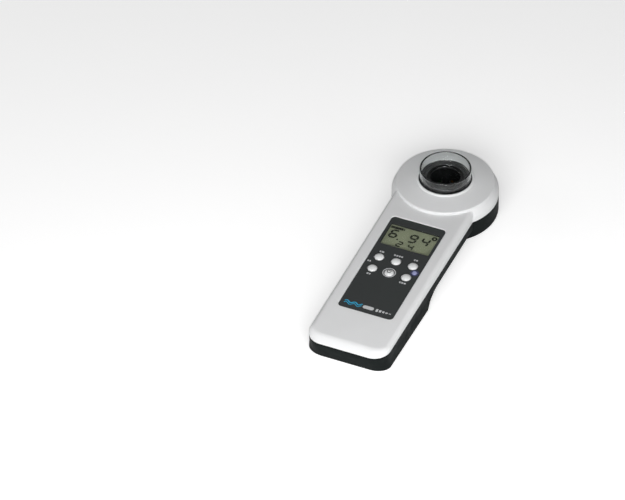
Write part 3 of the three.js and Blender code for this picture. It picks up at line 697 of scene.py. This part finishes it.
# -------- upper case
def head_top():
    profile = rounded([
        (0, SEAM_HIGH), (HEAD_RADIUS - SEAM_EDGE, SEAM_HIGH), (HEAD_RADIUS, SEAM_HIGH + SEAM_EDGE),
        (HEAD_RADIUS, LEAN_START_Z, LEAN_ROUND), (*DISC_FOOT, DISC_FOOT_ROUND), (*DISC_EDGE, DISC_ROUND),
        (*LIP_FOOT, LIP_FOOT_ROUND), (LIP_TOP_RADIUS, LIP_Z, LIP_ROUND), (0, LIP_Z),
    ], 10)
    return turned(profile, HEAD_SEGMENTS, 0, HEAD_Y)


def head_top_cavity():
    radius, low, roof = HEAD_RADIUS - WALL, SEAM_HIGH - OVER, 22.3
    bend, shoulder = (radius, 19.4, 1.0), (radius - 1.6, 20, 0.5)
    profile = rounded([(0, low), (radius, low), bend, shoulder, (19.4, roof), (0, roof)], 4)
    return turned(profile, HEAD_SEGMENTS // 2, 0, HEAD_Y)


def deck_openings():
    label_low, label_high = extent("front_label", DECK)
    width, length = [size + 2 * RECESS_GAP for size in (label_high - label_low).xy]
    margin = 2.2
    tools = [
        pocket(width, length, -RECESS_DEPTH, 0, LABEL_CORNER + RECESS_GAP, RECESS_EDGE),
        plate(WINDOW_WIDTH + margin, WINDOW_LENGTH + margin, *THROUGH_CASE, 0, WINDOW.y, 1.2),
        rod(GUIDE_RADIUS + GAP, *THROUGH_CASE, GUIDE.x, GUIDE.y),
    ]
    tools += [rod(KEY_HOLE, *THROUGH_CASE, x, y, 64) for x, y in KEY_PLACES]
    return [on_deck(tool) for tool in tools]


def upper_case():
    inner = upper_handle(WALL, WALL, SIDE_ROUND - 1, END_REACH - 2, SEAM_HIGH - OVER / 2)
    body = join(upper_handle(0, 0, SIDE_ROUND, END_REACH, SEAM_HIGH), head_top())
    body = cut(body, join(inner, head_top_cavity()))
    low = SEAM_HIGH + BOSS_GAP
    bosses, holes = [], []
    for (x, y), top in zip(CASE_SCREW_PLACES, UPPER_BOSS_TOPS):
        bosses.append(rod(BOSS_RADIUS, low, top, x, y))
        holes.append(rod(CASE_HOLE, low - OVER, top - 0.8, x, y, HOLE_SEGMENTS))
    socket = hole(SOCKET_RADIUS, 10, LIP_Z, 0, HEAD_Y, SOCKET_EDGE, ROUND_SEGMENTS)
    return cut(join(body, *bosses), *holes, socket, *deck_openings())


stand_in(upper_case(), "upper_case", WHITE)


# -------- lower case
def arch_outline():
    """The side view of the finger arch: flat under the neck, then a curve and a straight slope."""
    far, below = HEAD_Y + 4, -2
    start, bend, end = (ARCH_START_Y, NECK_Z), (ARCH_BEND_Y, NECK_Z), ARCH_CURVE_END
    curve, steps = [], 12
    for step in range(steps + 1):
        t = step / steps
        weights = ((1 - t) ** 2, 2 * t * (1 - t), t * t)
        curve.append([sum(w * point[i] for w, point in zip(weights, (start, bend, end))) for i in (0, 1)])
    return [(far, below), (far, NECK_Z)] + curve + [(BULGE_Y, 0), (BULGE_Y - 4.7, below)]


def under_floor():
    far, near, below = HEAD_Y + 4, END_Y - 10, -5
    outline = [(far, below), (far, NECK_FLOOR_Z), (BULGE_Y + 13, NECK_FLOOR_Z), (BULGE_Y + 2, BULGE_FLOOR_Z)]
    return across_x(outline + [(near, BULGE_FLOOR_Z), (near, below)])


def head_foot():
    profile = [(0, 0), (HEAD_RADIUS, 0, FOOT_ROUND), (HEAD_RADIUS, SEAM_LOW, SEAM_EDGE), (0, SEAM_LOW)]
    return turned(rounded(profile, 8), HEAD_SEGMENTS, 0, HEAD_Y)


def lower_cavity():
    handle = loft([
        flat_ring(WALL, HEAD_FLOOR_Z, WALL + END_SLANT), flat_ring(WALL, NECK_Z, WALL + NECK_SLANT),
        flat_ring(WALL, UPRIGHT_Z), flat_ring(WALL, SEAM_LOW + OVER),
    ])
    head = rod(HEAD_RADIUS - WALL, HEAD_FLOOR_Z, SEAM_LOW + OVER, 0, HEAD_Y, HEAD_SEGMENTS // 2)
    return join(cut(handle, under_floor()), head)


def cover_opening():
    low, high = extent("battery_cover")
    width, length = [size + 2 * GAP for size in (high - low).xy]
    edge = 0.3
    levels = [(edge, -OVER), *lower_edge(edge, 0), (0, low.z + COVER_SKIN + GAP)]
    return stepped(width, length, 0, (low.y + high.y) / 2, COVER_CORNER + GAP, levels)


def seat_rib():
    """A low ring on the head's floor, round the foot of the optics block."""
    low, high = HEAD_FLOOR_Z - 0.4, HEAD_FLOOR_Z + 0.8
    return cut(rod(14.6, low, high, 0, HEAD_Y, 96), rod(13, low - 0.6, high + 1.2, 0, HEAD_Y, 96))


def board_posts():
    board_low = extent("main_board", DECK)[0].z - 0.4
    places = [(side * 16, y) for y in (20, -30) for side in (1, -1)]
    return [rod(1.6, NECK_FLOOR_Z - 3, deck_height(y) + board_low, x, y, 32) for x, y in places]


def lower_case():
    body = join(cut(lower_handle(), across_x(arch_outline())), head_foot())
    body = cut(body, lower_cavity())
    floor = BULGE_FLOOR_Z - 0.4
    bay_walls = plate(2 * BAY_HALF_WIDTH + 3.2, BAY_LENGTH + 2.8, floor, BAY_ROOF + 1, 0, BAY_Y, 1.2, 0.5)
    solids = [bay_walls, seat_rib(), *board_posts()]
    solids += [rod(BOSS_RADIUS, floor, 9.4, x, y) for x, y in COVER_SCREW_PLACES]
    tools = []
    for (x, y), seat, underside in zip(CASE_SCREW_PLACES, CASE_SCREW_SEATS, CASE_SCREW_UNDERSIDES):
        solids.append(rod(3.4, underside + 1, SEAM_LOW - BOSS_GAP, x, y))
        tools.append(rod(2.45, underside - OVER, seat, x, y))
        tools.append(rod(CASE_HOLE, underside, SEAM_LOW + OVER, x, y, HOLE_SEGMENTS))
    tools += [rod(COVER_HOLE, 0, 8.4, x, y, HOLE_SEGMENTS) for x, y in COVER_SCREW_PLACES]
    foil_low, foil_high = extent("rating_plate")
    foil_width, foil_length = [size + 0.4 for size in (foil_high - foil_low).xy]
    step_z = 3.7
    tools += [
        plate(2 * BAY_HALF_WIDTH, BAY_LENGTH, step_z - 0.1, BAY_ROOF, 0, BAY_Y, 0.5),
        plate(2 * BAY_HALF_WIDTH + 1.2, BAY_LENGTH + 1, -OVER, step_z, 0, BAY_Y, 0.6),
        cover_opening(),
        plate(foil_width, foil_length, 5, NECK_Z + 0.45, 0, middle("rating_plate").y, 1.5),
        outline_band(0.7, 1.8, SEAM_LOW - 1.05, SEAM_LOW + OVER),
    ]
    return cut(join(body, *solids), *tools)


stand_in(lower_case(), "lower_case", DARK)
gasket_low, gasket_high = extent("case_gasket")
stand_in(outline_band(0.85, 1.65, gasket_low.z, gasket_high.z), "case_gasket", SEAL)


# -------- label, keys and display
def label_film():
    tools = [rod(KEY_HOLE - 0.05, *THROUGH_LABEL, x, y, 64) for x, y in KEY_PLACES]
    tools.append(plate(WINDOW_WIDTH, WINDOW_LENGTH, *THROUGH_LABEL, 0, WINDOW.y, 0.7))
    tools.append(rod(GUIDE_RADIUS + 0.25, *THROUGH_LABEL, GUIDE.x, GUIDE.y))
    return on_deck(cut(fitted("front_label", DECK, LABEL_CORNER, 0.08), *tools))


def light_guide():
    cone = 0.5
    profile = rounded([
        (0, GUIDE_LOW.z), (0.9, GUIDE_LOW.z), (GUIDE_RADIUS, GUIDE_LOW.z + cone, 0.1),
        (GUIDE_RADIUS, GUIDE_HIGH.z, 0.35), (0, GUIDE_HIGH.z),
    ])
    return on_deck(turned(profile, 64, GUIDE.x, GUIDE.y))


stand_in(label_film(), "front_label", FILM)
stand_in(light_guide(), "status_light_guide", BLUE)


def key_dome(key):
    """A key: a foot, a flange that stays under the case, and a domed top."""
    low, high = extent(key, DECK)
    x, y = middle(key, DECK).xy
    foot, flange, shoulder = 2.1, (high.x - low.x) / 2, high.z - KEY_CROWN
    flange_low, flange_high = low.z + 0.6, low.z + 1.3
    profile = rounded([
        (0, low.z), (foot, low.z, 0.15), (foot, flange_low), (flange, flange_low, 0.1),
        (flange, flange_high, 0.15), (KEY_RADIUS, flange_high),
    ])
    crown = [(KEY_RADIUS * math.cos(t), shoulder + KEY_CROWN * math.sin(t)) for t in quarter_turn(16)]
    return on_deck(turned(profile + crown[:-1] + [(0, high.z)], 96, x, y))


for key in KEYS:
    stand_in(key_dome(key), key, SILICONE, key + "_body", sharp=50)
    pill_low, pill_high = extent(key + "_contact", DECK)
    pill = on_deck(rod(1.7, pill_low.z, pill_high.z, *middle(key, DECK).xy, 48, 0.08))
    stand_in(pill, key + "_contact", CARBON, key + "_body")


def key_mat():
    """The mat that the keys belong to: a sheet with a rim below it."""
    low, high = extent("key_mat", DECK)
    rim, sheet = 1.1, 0.8
    width, length = [size - 2 * rim for size in (high - low).xy]
    under = low.z - OVER
    hollow = plate(width, length, under, high.z - sheet, 0, (low.y + high.y) / 2, 1.4, 0.2)
    holes = [rod(4.5, under, 0, x, y) for x, y in KEY_PLACES]
    guide_hole = rod(GUIDE_RADIUS + GAP, under, 0, GUIDE.x, GUIDE.y)
    return on_deck(cut(fitted("key_mat", DECK, 2, 0.2), hollow, guide_hole, *holes))


stand_in(key_mat(), "key_mat", MAT)


def deck_plate(name, material, corner, top, bottom):
    stand_in(on_deck(fitted(name, DECK, corner, top, bottom)), name, material)


deck_plate("display_window", LENS, 1.0, 0.12, 0.05)
deck_plate("lcd_glass", LCD, 0.3, 0.08, 0.08)
deck_plate("backlight_panel", PANEL, 0.4, 0.15, 0.15)
deck_plate("contact_strip", MAT, 0.4, 0.2, 0.2)
deck_plate("main_board", BOARD, 1.5, 0.08, 0.08)
deck_plate("processor_chip", EPOXY, 0.3, 0.1, 0.2)
deck_plate("wireless_module", CAN, 0.5, 0.1, 0.25)


def display_holder():
    """The display's frame; its rim stands round the glass, up to just under the lens."""
    low, high = extent("display_holder", DECK)
    size = high - low
    rim_top = extent("display_window", DECK)[0].z - 0.08
    outer = plate(size.x, size.y, low.z, -WALL - GAP, 0, WINDOW.y, 1, 0.15, 0.15)
    rim = plate(WINDOW_WIDTH + 2.0, WINDOW_LENGTH + 2.0, low.z + 1, rim_top, 0, WINDOW.y, 1.1, 0.1)
    inner = plate(WINDOW_WIDTH - 0.2, WINDOW_LENGTH - 0.2, low.z - OVER, rim_top + OVER, 0, WINDOW.y, 0.4)
    return on_deck(cut(join(outer, rim), inner))


stand_in(display_holder(), "display_holder", BLACK)


# -------- printing and display segments
def bar(x, y, width, length, low, high, corner=0.2):
    corner = min(corner, width / 2 - 0.01, length / 2 - 0.01)
    return plate(width, length, low, high, x, y, corner, steps=4)


def ring(x, y, outer, inner, low, high):
    profile = [(inner, low), (outer, low), (outer, high), (inner, high)]
    return turned(profile, 64, x, y, closed=True)


def ribbon(path, width, low, high):
    """A flat printed line along a smooth list of (x, y) points."""
    left, right = [], []
    for index, point in enumerate(path):
        along = Vector(path[min(index + 1, len(path) - 1)]) - Vector(path[max(index - 1, 0)])
        across = Vector((-along.y, along.x)).normalized() * width / 2
        left.append((point[0] + across.x, point[1] + across.y))
        right.append((point[0] - across.x, point[1] - across.y))
    outline = right + left[::-1]
    return loft([[(x, y, z) for x, y in outline] for z in (low, high)])


# Short generic marks beside the keys: the middle of each in the model's frame, and its bars' widths.
LEGENDS = [
    (-12.0, -11.1, [1.0, 1.6]), (-0.5, -10.9, [1.2] * 4), (11.4, -10.4, [1.0, 1.2]),
    (-16.3, -21.9, [0.9, 0.9]), (-12.0, -33.1, [1.3, 1.0]), (11.6, -33.1, [1.0, 1.3, 1.3]),
]
LEGEND_HEIGHT, LEGEND_GAP = 1.25, 0.45
STRIP_Y = -62.6 - deck_origin.y


def legend(x, y, widths):
    left = x - (sum(widths) + LEGEND_GAP * (len(widths) - 1)) / 2
    bars = []
    for width in widths:
        bars.append(bar(left + width / 2, y - deck_origin.y, width, LEGEND_HEIGHT, *INK))
        left += width + LEGEND_GAP
    return bars


def pale_printing():
    """The legends, the power key's ring, and a pill and five shrinking bars at the label's lower edge."""
    marks = [mark for row in LEGENDS for mark in legend(*row)]
    marks.append(ring(*KEY_PLACES[KEYS.index("key_power")], 4.3, 3.75, *INK))
    marks.append(bar(0.6, STRIP_Y, 7.5, 2.9, *INK, corner=1.4))
    marks += [bar(6.6 + 2.2 * i, STRIP_Y - 0.1, 1.4, 2.6 - 0.5 * i, *INK) for i in range(5)]
    return on_deck(merged(marks))


def water_line():
    """Two crossing generic waves at the label's lower edge."""
    start, step, height, wavelength = -16, 0.25, 0.8, 5.5
    lines = []
    for middle_y, width in ((0.9, 0.75), (-0.7, 0.5)):
        path = []
        for i in range(49):
            wave = height * math.sin(step * i * TURN / wavelength)
            path.append((start + step * i, STRIP_Y + middle_y + wave))
        lines.append(ribbon(path, width, *INK))
    return on_deck(merged(lines))


finish(pale_printing(), "label_printing", PALE_INK, slot="keys")
halo = on_deck(ring(GUIDE.x, GUIDE.y, 2.7, GUIDE_RADIUS + 0.35, *INK))
finish(halo, "status_light_ring", BLUE_INK, slot="guide")
finish(water_line(), "label_water_line", CYAN_INK, slot="guide")


def power_mark():
    """The usual broken ring and stroke, sunk into the key's crown."""
    x, y = middle("key_power", DECK).xy
    top = extent("key_power", DECK)[1].z
    low, radius, width, gap, steps = top - 0.3, 1.25, 0.42, 70, 40
    path = []
    for step in range(steps + 1):
        angle = math.radians(90 + gap / 2 + (360 - gap) * step / steps)
        path.append((x + radius * math.cos(angle), y + radius * math.sin(angle)))
    return on_deck(merged([ribbon(path, width, low, top), bar(x, y + 0.95, width, 1.5, low, top)]))


finish(power_mark(), "power_key_mark", FILM, "key_power_body", slot="label")

SEGMENTS = {"2": "abged", "4": "fgbc", "6": "afgedc", "9": "abcdfg"}


def digit(figure, x, y, width, height, low, high, thick, slant=0.12):
    """One seven-segment figure, leaning slightly to the right."""
    w, h = width / 2, height / 2
    places = {
        "a": (0, h, 0), "g": (0, 0, 0), "d": (0, -h, 0),
        "f": (-w, h / 2, 1), "b": (w, h / 2, 1), "e": (-w, -h / 2, 1), "c": (w, -h / 2, 1),
    }
    lean = Matrix.Identity(4)
    lean[0][1] = slant
    segments = []
    for segment in SEGMENTS[figure]:
        sx, sy, upright = places[segment]
        length = (h if upright else width) - thick * 0.1
        half, point = length / 2, thick / 2
        outline = [(-half, 0), (-half + point, -point), (half - point, -point), (half, 0),
                   (half - point, point), (-half + point, point)]
        if upright:
            outline = [(-b, a) for a, b in outline]
        rings = [[(sx + a, sy + b, z) for a, b in outline] for z in (low, high)]
        segments.append(moved(loft(rings), Matrix.Translation((x, y, 0)) @ lean))
    return segments


def display_segments():
    """A large and a small reading with a point, a battery and a ring; places are from the window's centre."""
    glass = extent("lcd_glass", DECK)[1].z
    low, high = glass + 0.01, glass + 0.05
    x, y = WINDOW.xy
    marks = [bar(x - 8.0, y - 2.0, 1.1, 1.1, low, high), ring(x + 14.2, y + 7.4, 1.9, 0.65, low, high)]
    for figure, dx in (("6", -12.0), ("9", 1.4), ("4", 9.7)):
        marks += digit(figure, x + dx, y + 2.2, 4.3, 6.9, low, high, 1.45)
    for figure, dx in (("2", -5.0), ("4", 2.6)):
        marks += digit(figure, x + dx, y - 5.6, 3.3, 4.3, low, high, 1.1)
    cell_x, cell_y = x - 12.0, y + 7.95
    marks.append(bar(cell_x, cell_y, 8.6, 2.1, low, high, corner=0.3))
    marks.append(bar(cell_x + 4.9, cell_y, 0.8, 1.4, low, high))
    return on_deck(merged(marks))


finish(display_segments(), "display_segments", SEGMENT, slot="black_plastic")


# -------- cuvette and optics
BORE_RADIUS = 12.35
LAMP_ANGLES = [50, 90, 130]


def cuvette():
    """A cup over a narrower chamber; the wall of the cup is 1.2 mm thick and that of the chamber 2.2 mm."""
    low, high = extent("cuvette")
    cup, chamber = high.x, 12.0
    inside, bore = cup - 1.2, chamber - 2.2
    shelf_low, shelf_high, floor = 25.6, 26.8, 7.0
    profile = rounded([
        (0, low.z), (chamber, low.z, 0.5), (chamber, shelf_low, 0.4), (cup, shelf_low, 0.6),
        (cup, high.z, 0.5), (inside, high.z, 0.5), (inside, shelf_high, 1.3), (bore, shelf_high, 0.5),
        (bore, floor, 1.2), (0, floor),
    ], 8)
    return turned(profile, ROUND_SEGMENTS, 0, HEAD_Y)


def along_radius(draft, degrees):
    place = Matrix.Translation((0, HEAD_Y, OPTIC_Z)) @ Matrix.Rotation(math.radians(degrees), 4, "Z")
    return moved(draft, place @ Matrix.Rotation(QUARTER, 4, "Y"))


def cuvette_well():
    """The block round the chamber: from the foot up, an optics ring, a waist, a flange and a collar."""
    low, high = extent("cuvette_well")
    foot, waist, flange, collar, cup, neck = 15, 15.4, 21.5, SOCKET_RADIUS - SOCKET_EDGE, 17.15, 14.3
    optic_low, optic_high = OPTIC_Z - OPTIC_HALF, OPTIC_Z + OPTIC_HALF
    flange_low, flange_high, cup_floor, shelf, floor = 19.6, 21, 25.3, 23.6, 5.1
    profile = rounded([
        (0, low.z), (foot, low.z, 0.3), (foot, optic_low), (OPTIC_RADIUS, optic_low, 0.3),
        (OPTIC_RADIUS, optic_high, 0.3), (waist, optic_high), (waist, flange_low, 0.3),
        (flange, flange_low, 0.2), (flange, flange_high, 0.3), (collar, flange_high, 0.3),
        (collar, high.z, 0.12), (cup, high.z, 0.12), (cup, cup_floor), (neck, cup_floor, 0.2),
        (neck, shelf, 0.2), (BORE_RADIUS, shelf, 0.3), (BORE_RADIUS, floor, 0.5), (0, floor),
    ], 5)
    light_paths = [along_radius(rod(1.8, 10, 20), side + angle) for side in (0, 180) for angle in LAMP_ANGLES]
    return cut(turned(profile, ROUND_SEGMENTS, 0, HEAD_Y), *light_paths)


def painted_shade_in_bore(point):
    """The bore and its floor get a darker, less glossy black than the rest of the block: painted shade for the
    deep hole.
    """
    return math.hypot(point.x, point.y - HEAD_Y) < BORE_RADIUS + 0.45 and point.z > 5


def optics_ribbon():
    """A hoop round the block, open on the left, with a tail to the circuit board's socket."""
    near = extent("optics_ribbon")[0].y
    inner, outer, half = OPTIC_RADIUS + 0.35, OPTIC_RADIUS + 0.65, 3
    below, above = OPTIC_Z - half - OVER, OPTIC_Z + half + OVER
    hoop = cut(
        rod(outer, OPTIC_Z - half, OPTIC_Z + half, 0, HEAD_Y, ROUND_SEGMENTS),
        rod(inner, below, above, 0, HEAD_Y, ROUND_SEGMENTS),
        block(20, 20, below, above, -OPTIC_RADIUS - 4, HEAD_Y),
    )
    far = HEAD_Y - inner - 0.1
    return join(hoop, block(8, far - near, 12.6, 12.9, 0, (far + near) / 2))


def neck_seal():
    radius, height, thick, steps = 13.15, 24.65, 0.7, 24
    angles = [TURN * step / steps for step in range(steps)]
    section = [(radius + thick * math.cos(a), height + thick * math.sin(a)) for a in angles]
    return turned(section, 128, 0, HEAD_Y, closed=True)


stand_in(cuvette(), "cuvette", ACRYLIC, "cuvette_body")
# the faces in the bore get the darker black of painted shade
paint(stand_in(cuvette_well(), "cuvette_well", BLACK), painted_shade_in_bore, BORE_PAINTED_SHADE)
stand_in(optics_ribbon(), "optics_ribbon", RIBBON)
stand_in(neck_seal(), "cuvette_seal", SEAL, "cuvette_body")

for index, (angle, material) in enumerate(zip(LAMP_ANGLES, LAMPS), 1):
    face, rim, back = 12.9, 17.3, 17.8
    lamp = rounded([(0, face), (1.5, face, 1.3), (1.5, rim), (1.7, rim, 0.1), (1.7, back, 0.1), (0, back)])
    stand_in(along_radius(turned(lamp, 48), angle), f"lamp_{index}", material)
    detector = rounded([(0, 14), (1.5, 14, 0.3), (1.5, back, 0.2), (0, back)])
    stand_in(along_radius(turned(detector, 48), angle + 180), f"light_detector_{index}", DETECTOR)


# -------- batteries
CELL_BUTTON, CELL_BAND_START = 1.9, 36


def along_y(draft, way, x, y, z):
    """Lay an upright draft down, so that it points towards the head (way 1) or away from it (way -1)."""
    return moved(draft, Matrix.Translation((x, y, z)) @ Matrix.Rotation(-way * QUARTER, 4, "X"))


def cell(radius, length):
    """A cell that stands on its flat end, with the button on top."""
    shoulder = length - 0.9
    profile = rounded([
        (0, 0), (radius - 0.6, 0), (radius - 0.3, 0.1, 0.1), (radius, 0.4, 0.2),
        (radius, shoulder - 0.1, 0.3), (radius - 0.9, shoulder, 0.2), (CELL_BUTTON, shoulder),
        (CELL_BUTTON, length, 0.3), (0, length),
    ], 4)
    return turned(profile, 96)


def cell_finish(x, start, z, radius):
    """Bare metal on both ends, and a coloured band near the button."""

    def pick(point):
        if math.hypot(point.x - x, point.z - z) < radius - 0.85:
            return 2
        return 1 if abs(point.y - start) > CELL_BAND_START else 0

    return pick


def contact_spring():
    base, tip, low, height, turns, steps = 3.4, 1.8, 0.35, 2.2, 2.5, 120
    path = []
    for step in range(steps + 1):
        t = step / steps
        radius, angle = base + (tip - base) * t, t * TURN * turns
        path.append(Vector((radius * math.cos(angle), radius * math.sin(angle), low + height * t)))
    return tube(path, 0.3)


def contact_leaf(name):
    low, high = extent(name)
    leaf = plate(high.x - low.x, high.z - low.z, -0.25, 0.25, 0, 0, 1.2, 0.1, 0.1)
    return moved(leaf, Matrix.Translation((low + high) / 2) @ Matrix.Rotation(QUARTER, 4, "X"))


for index, way in ((1, 1), (2, -1), (3, 1)):
    name = f"battery_{index}"
    low, high = extent(name)
    x, _, z = (low + high) / 2
    radius = (high.x - low.x) / 2
    start, base = (low.y, BAY_NEAR + GAP) if way > 0 else (high.y, BAY_FAR - GAP)
    body = stand_in(along_y(cell(radius, high.y - low.y), way, x, start, z), name, SLEEVE)
    paint(body, cell_finish(x, start, z, radius), BAND, CONTACT)
    stand_in(contact_leaf(f"battery_contact_{index}"), f"battery_contact_{index}", CONTACT)
    stand_in(along_y(contact_spring(), way, x, base, z), f"battery_spring_{index}", STEEL)


def battery_cover():
    low, high = extent("battery_cover")
    top, rim = low.z + COVER_SKIN, 1.2
    width, length = 2 * BAY_HALF_WIDTH - 0.8, BAY_LENGTH - 0.8
    y = (low.y + high.y) / 2
    skin = plate(high.x - low.x, high.y - low.y, low.z, top, 0, y, COVER_CORNER, 0.2, 0.35)
    frame_rim = cut(
        plate(width, length, top - 0.1, high.z, 0, BAY_Y, 0.6, 0.2),
        plate(width - 2 * rim, length - 2 * rim, top, high.z + OVER, 0, BAY_Y, 0.4),
    )
    tools = []
    for x, y in COVER_SCREW_PLACES:
        tools.append(rod(2.1, low.z - OVER, low.z + 1, x, y))
        tools.append(rod(COVER_HOLE, low.z - OVER, top + 2, x, y, HOLE_SEGMENTS))
    return cut(join(skin, frame_rim), *tools)


def battery_cover_seal():
    low, high = extent("battery_cover_seal")
    width, length = 2 * BAY_HALF_WIDTH - 0.4, BAY_LENGTH - 0.4
    inner = plate(width, length, low.z - OVER, high.z + OVER, 0, BAY_Y, 0.5)
    return cut(fitted("battery_cover_seal", None, 0.6, 0.15, 0.15), inner)


stand_in(battery_cover(), "battery_cover", DARK, "cover_body")
stand_in(battery_cover_seal(), "battery_cover_seal", SEAL, "cover_body")


# -------- fasteners, rating plate and socket
def screw_mesh(name, head_radius, shank_radius, head_height):
    """A pan-head screw that points up, with a cross recess and a threaded shank."""
    low, high = extent(name)
    x, y = middle(name).xy
    seat = low.z + head_height
    start, end = seat + 0.3, high.z - 1.0
    corners = [(0, low.z), (head_radius, low.z, 0.5), (head_radius, seat, 0.1), (shank_radius, seat)]
    profile = rounded(corners, 5)
    pitch, root = 0.7, shank_radius - 0.16
    for i in range(int((end - start) / pitch)):
        z = start + i * pitch
        profile += [(root, z), (shank_radius, z + pitch * 0.5), (root, z + pitch * 0.95)]
    profile += [(0.3, high.z), (0, high.z)]
    across, long = head_radius * 0.36, head_radius * 1.15
    below, depth = low.z - OVER, low.z + 0.7
    return cut(turned(profile, 48, x, y), block(long, across, below, depth, x, y),
               block(across, long, below, depth, x, y))


for screw in CASE_SCREWS:
    stand_in(screw_mesh(screw, 2.15, 1.05, 1.7), screw, STEEL)
for screw in COVER_SCREWS:
    stand_in(screw_mesh(screw, 1.85, 0.95, 0.8), screw, STEEL, "cover_body")

stand_in(fitted("rating_plate", None, 1.3, 0.05, 0.05), "rating_plate", PLATE)


def ribbon_socket():
    """The slot for the ribbon opens towards the head."""
    low, high = extent("ribbon_socket", DECK)
    size = high - low
    slot = block(size.x - 2, size.y, high.z - 1.65, high.z - 0.55, 0, (low.y + high.y) / 2 + 1.5)
    return on_deck(cut(fitted("ribbon_socket", DECK, 0.3, 0.1, 0.1), slot))


stand_in(ribbon_socket(), "ribbon_socket", CREAM)


# -------- floor, light and camera
def floor():
    """A plain pale floor that can't be seen from below."""
    size = 6.0
    mesh = bpy.data.meshes.new("floor")
    corners = [(-size, -size, 0), (size, -size, 0), (size, size, 0), (-size, size, 0)]
    mesh.from_pydata(corners, [], [(0, 1, 2, 3)])
    plane = placed("floor", mesh)
    plane.location.z = -0.00005  # just below the tester, so that no faces coincide
    material, tree, place = new_material("pale_floor")
    colour = mixed(tree, noise(tree, place, size=60), (0.86, 0.86, 0.86, 1), (0.88, 0.88, 0.88, 1))
    seen = node(tree, "LightPath").outputs["Is Camera Ray"]
    glow = node(tree, "Math", {0: seen, 1: 0.45}, operation="MULTIPLY").outputs[0]
    paper = principled(tree, {
        "Base Color": colour, "Roughness": 0.9, "Emission Color": (1, 1, 1, 1), "Emission Strength": glow,
    })
    nothing = node(tree, "BsdfTransparent").outputs[0]
    behind = node(tree, "NewGeometry").outputs["Backfacing"]
    both = node(tree, "MixShader", {0: behind, 1: paper, 2: nothing}).outputs[0]
    mesh.materials.append(surfaced(material, both))


def direction(azimuth, elevation):
    """A unit vector towards a place seen at that azimuth and elevation; azimuth 0 is along -Y."""
    a, e = math.radians(azimuth), math.radians(elevation)
    return Vector((math.sin(a) * math.cos(e), -math.cos(a) * math.cos(e), math.sin(e)))


def softbox(name, azimuth, elevation, distance, width, height, power):
    """A soft rectangular light, in metres and watts, turned towards the tester."""
    lamp = bpy.data.lights.new(name, "AREA")
    lamp.shape = "RECTANGLE"
    lamp.size, lamp.size_y = width, height
    lamp.energy = power
    holder = placed(name, lamp)
    away = direction(azimuth, elevation)
    holder.location = away * distance
    holder.rotation_euler = away.to_track_quat("Z", "Y").to_euler()


floor()
softbox("near_light", 16, 32, distance=0.72, width=0.62, height=0.33, power=4.75)
softbox("right_light", 75, 22, distance=0.9, width=0.6, height=0.4, power=2.0)
softbox("left_light", -82, 20, distance=1.2, width=0.5, height=0.4, power=1.5)

world = bpy.data.worlds.new("studio")
bpy.context.scene.world = world
world.use_nodes = True
background = world.node_tree.nodes["Background"]
background.inputs["Color"].default_value = (1, 1, 1, 1)
background.inputs["Strength"].default_value = 0.15

CAMERA_AZIMUTH, CAMERA_ELEVATION, CAMERA_ROLL = 24.156, 41.295, -0.635
CAMERA_DISTANCE, FOCAL_LENGTH = 3.2, 286.54
AIM = Vector((0, -0.004, 0.012))
AIM_RIGHT, AIM_UP = 0.05849, -0.0055  # where the aim stands in the picture, from its centre, in metres

back = direction(CAMERA_AZIMUTH, CAMERA_ELEVATION)
right = Matrix.Rotation(math.radians(CAMERA_ROLL), 3, back) @ direction(CAMERA_AZIMUTH + 90, 0)
up = back.cross(right)
lens = bpy.data.cameras.new("camera")
lens.sensor_width = 36
lens.lens = FOCAL_LENGTH
lens.clip_start, lens.clip_end = 0.1, 50
camera = placed("camera", lens)
place = AIM + back * CAMERA_DISTANCE - right * AIM_RIGHT - up * AIM_UP
camera.matrix_world = Matrix.Translation(place) @ Matrix((right, up, back)).transposed().to_4x4()
bpy.context.scene.camera = camera

bpy.context.scene.view_settings.view_transform = "Standard"
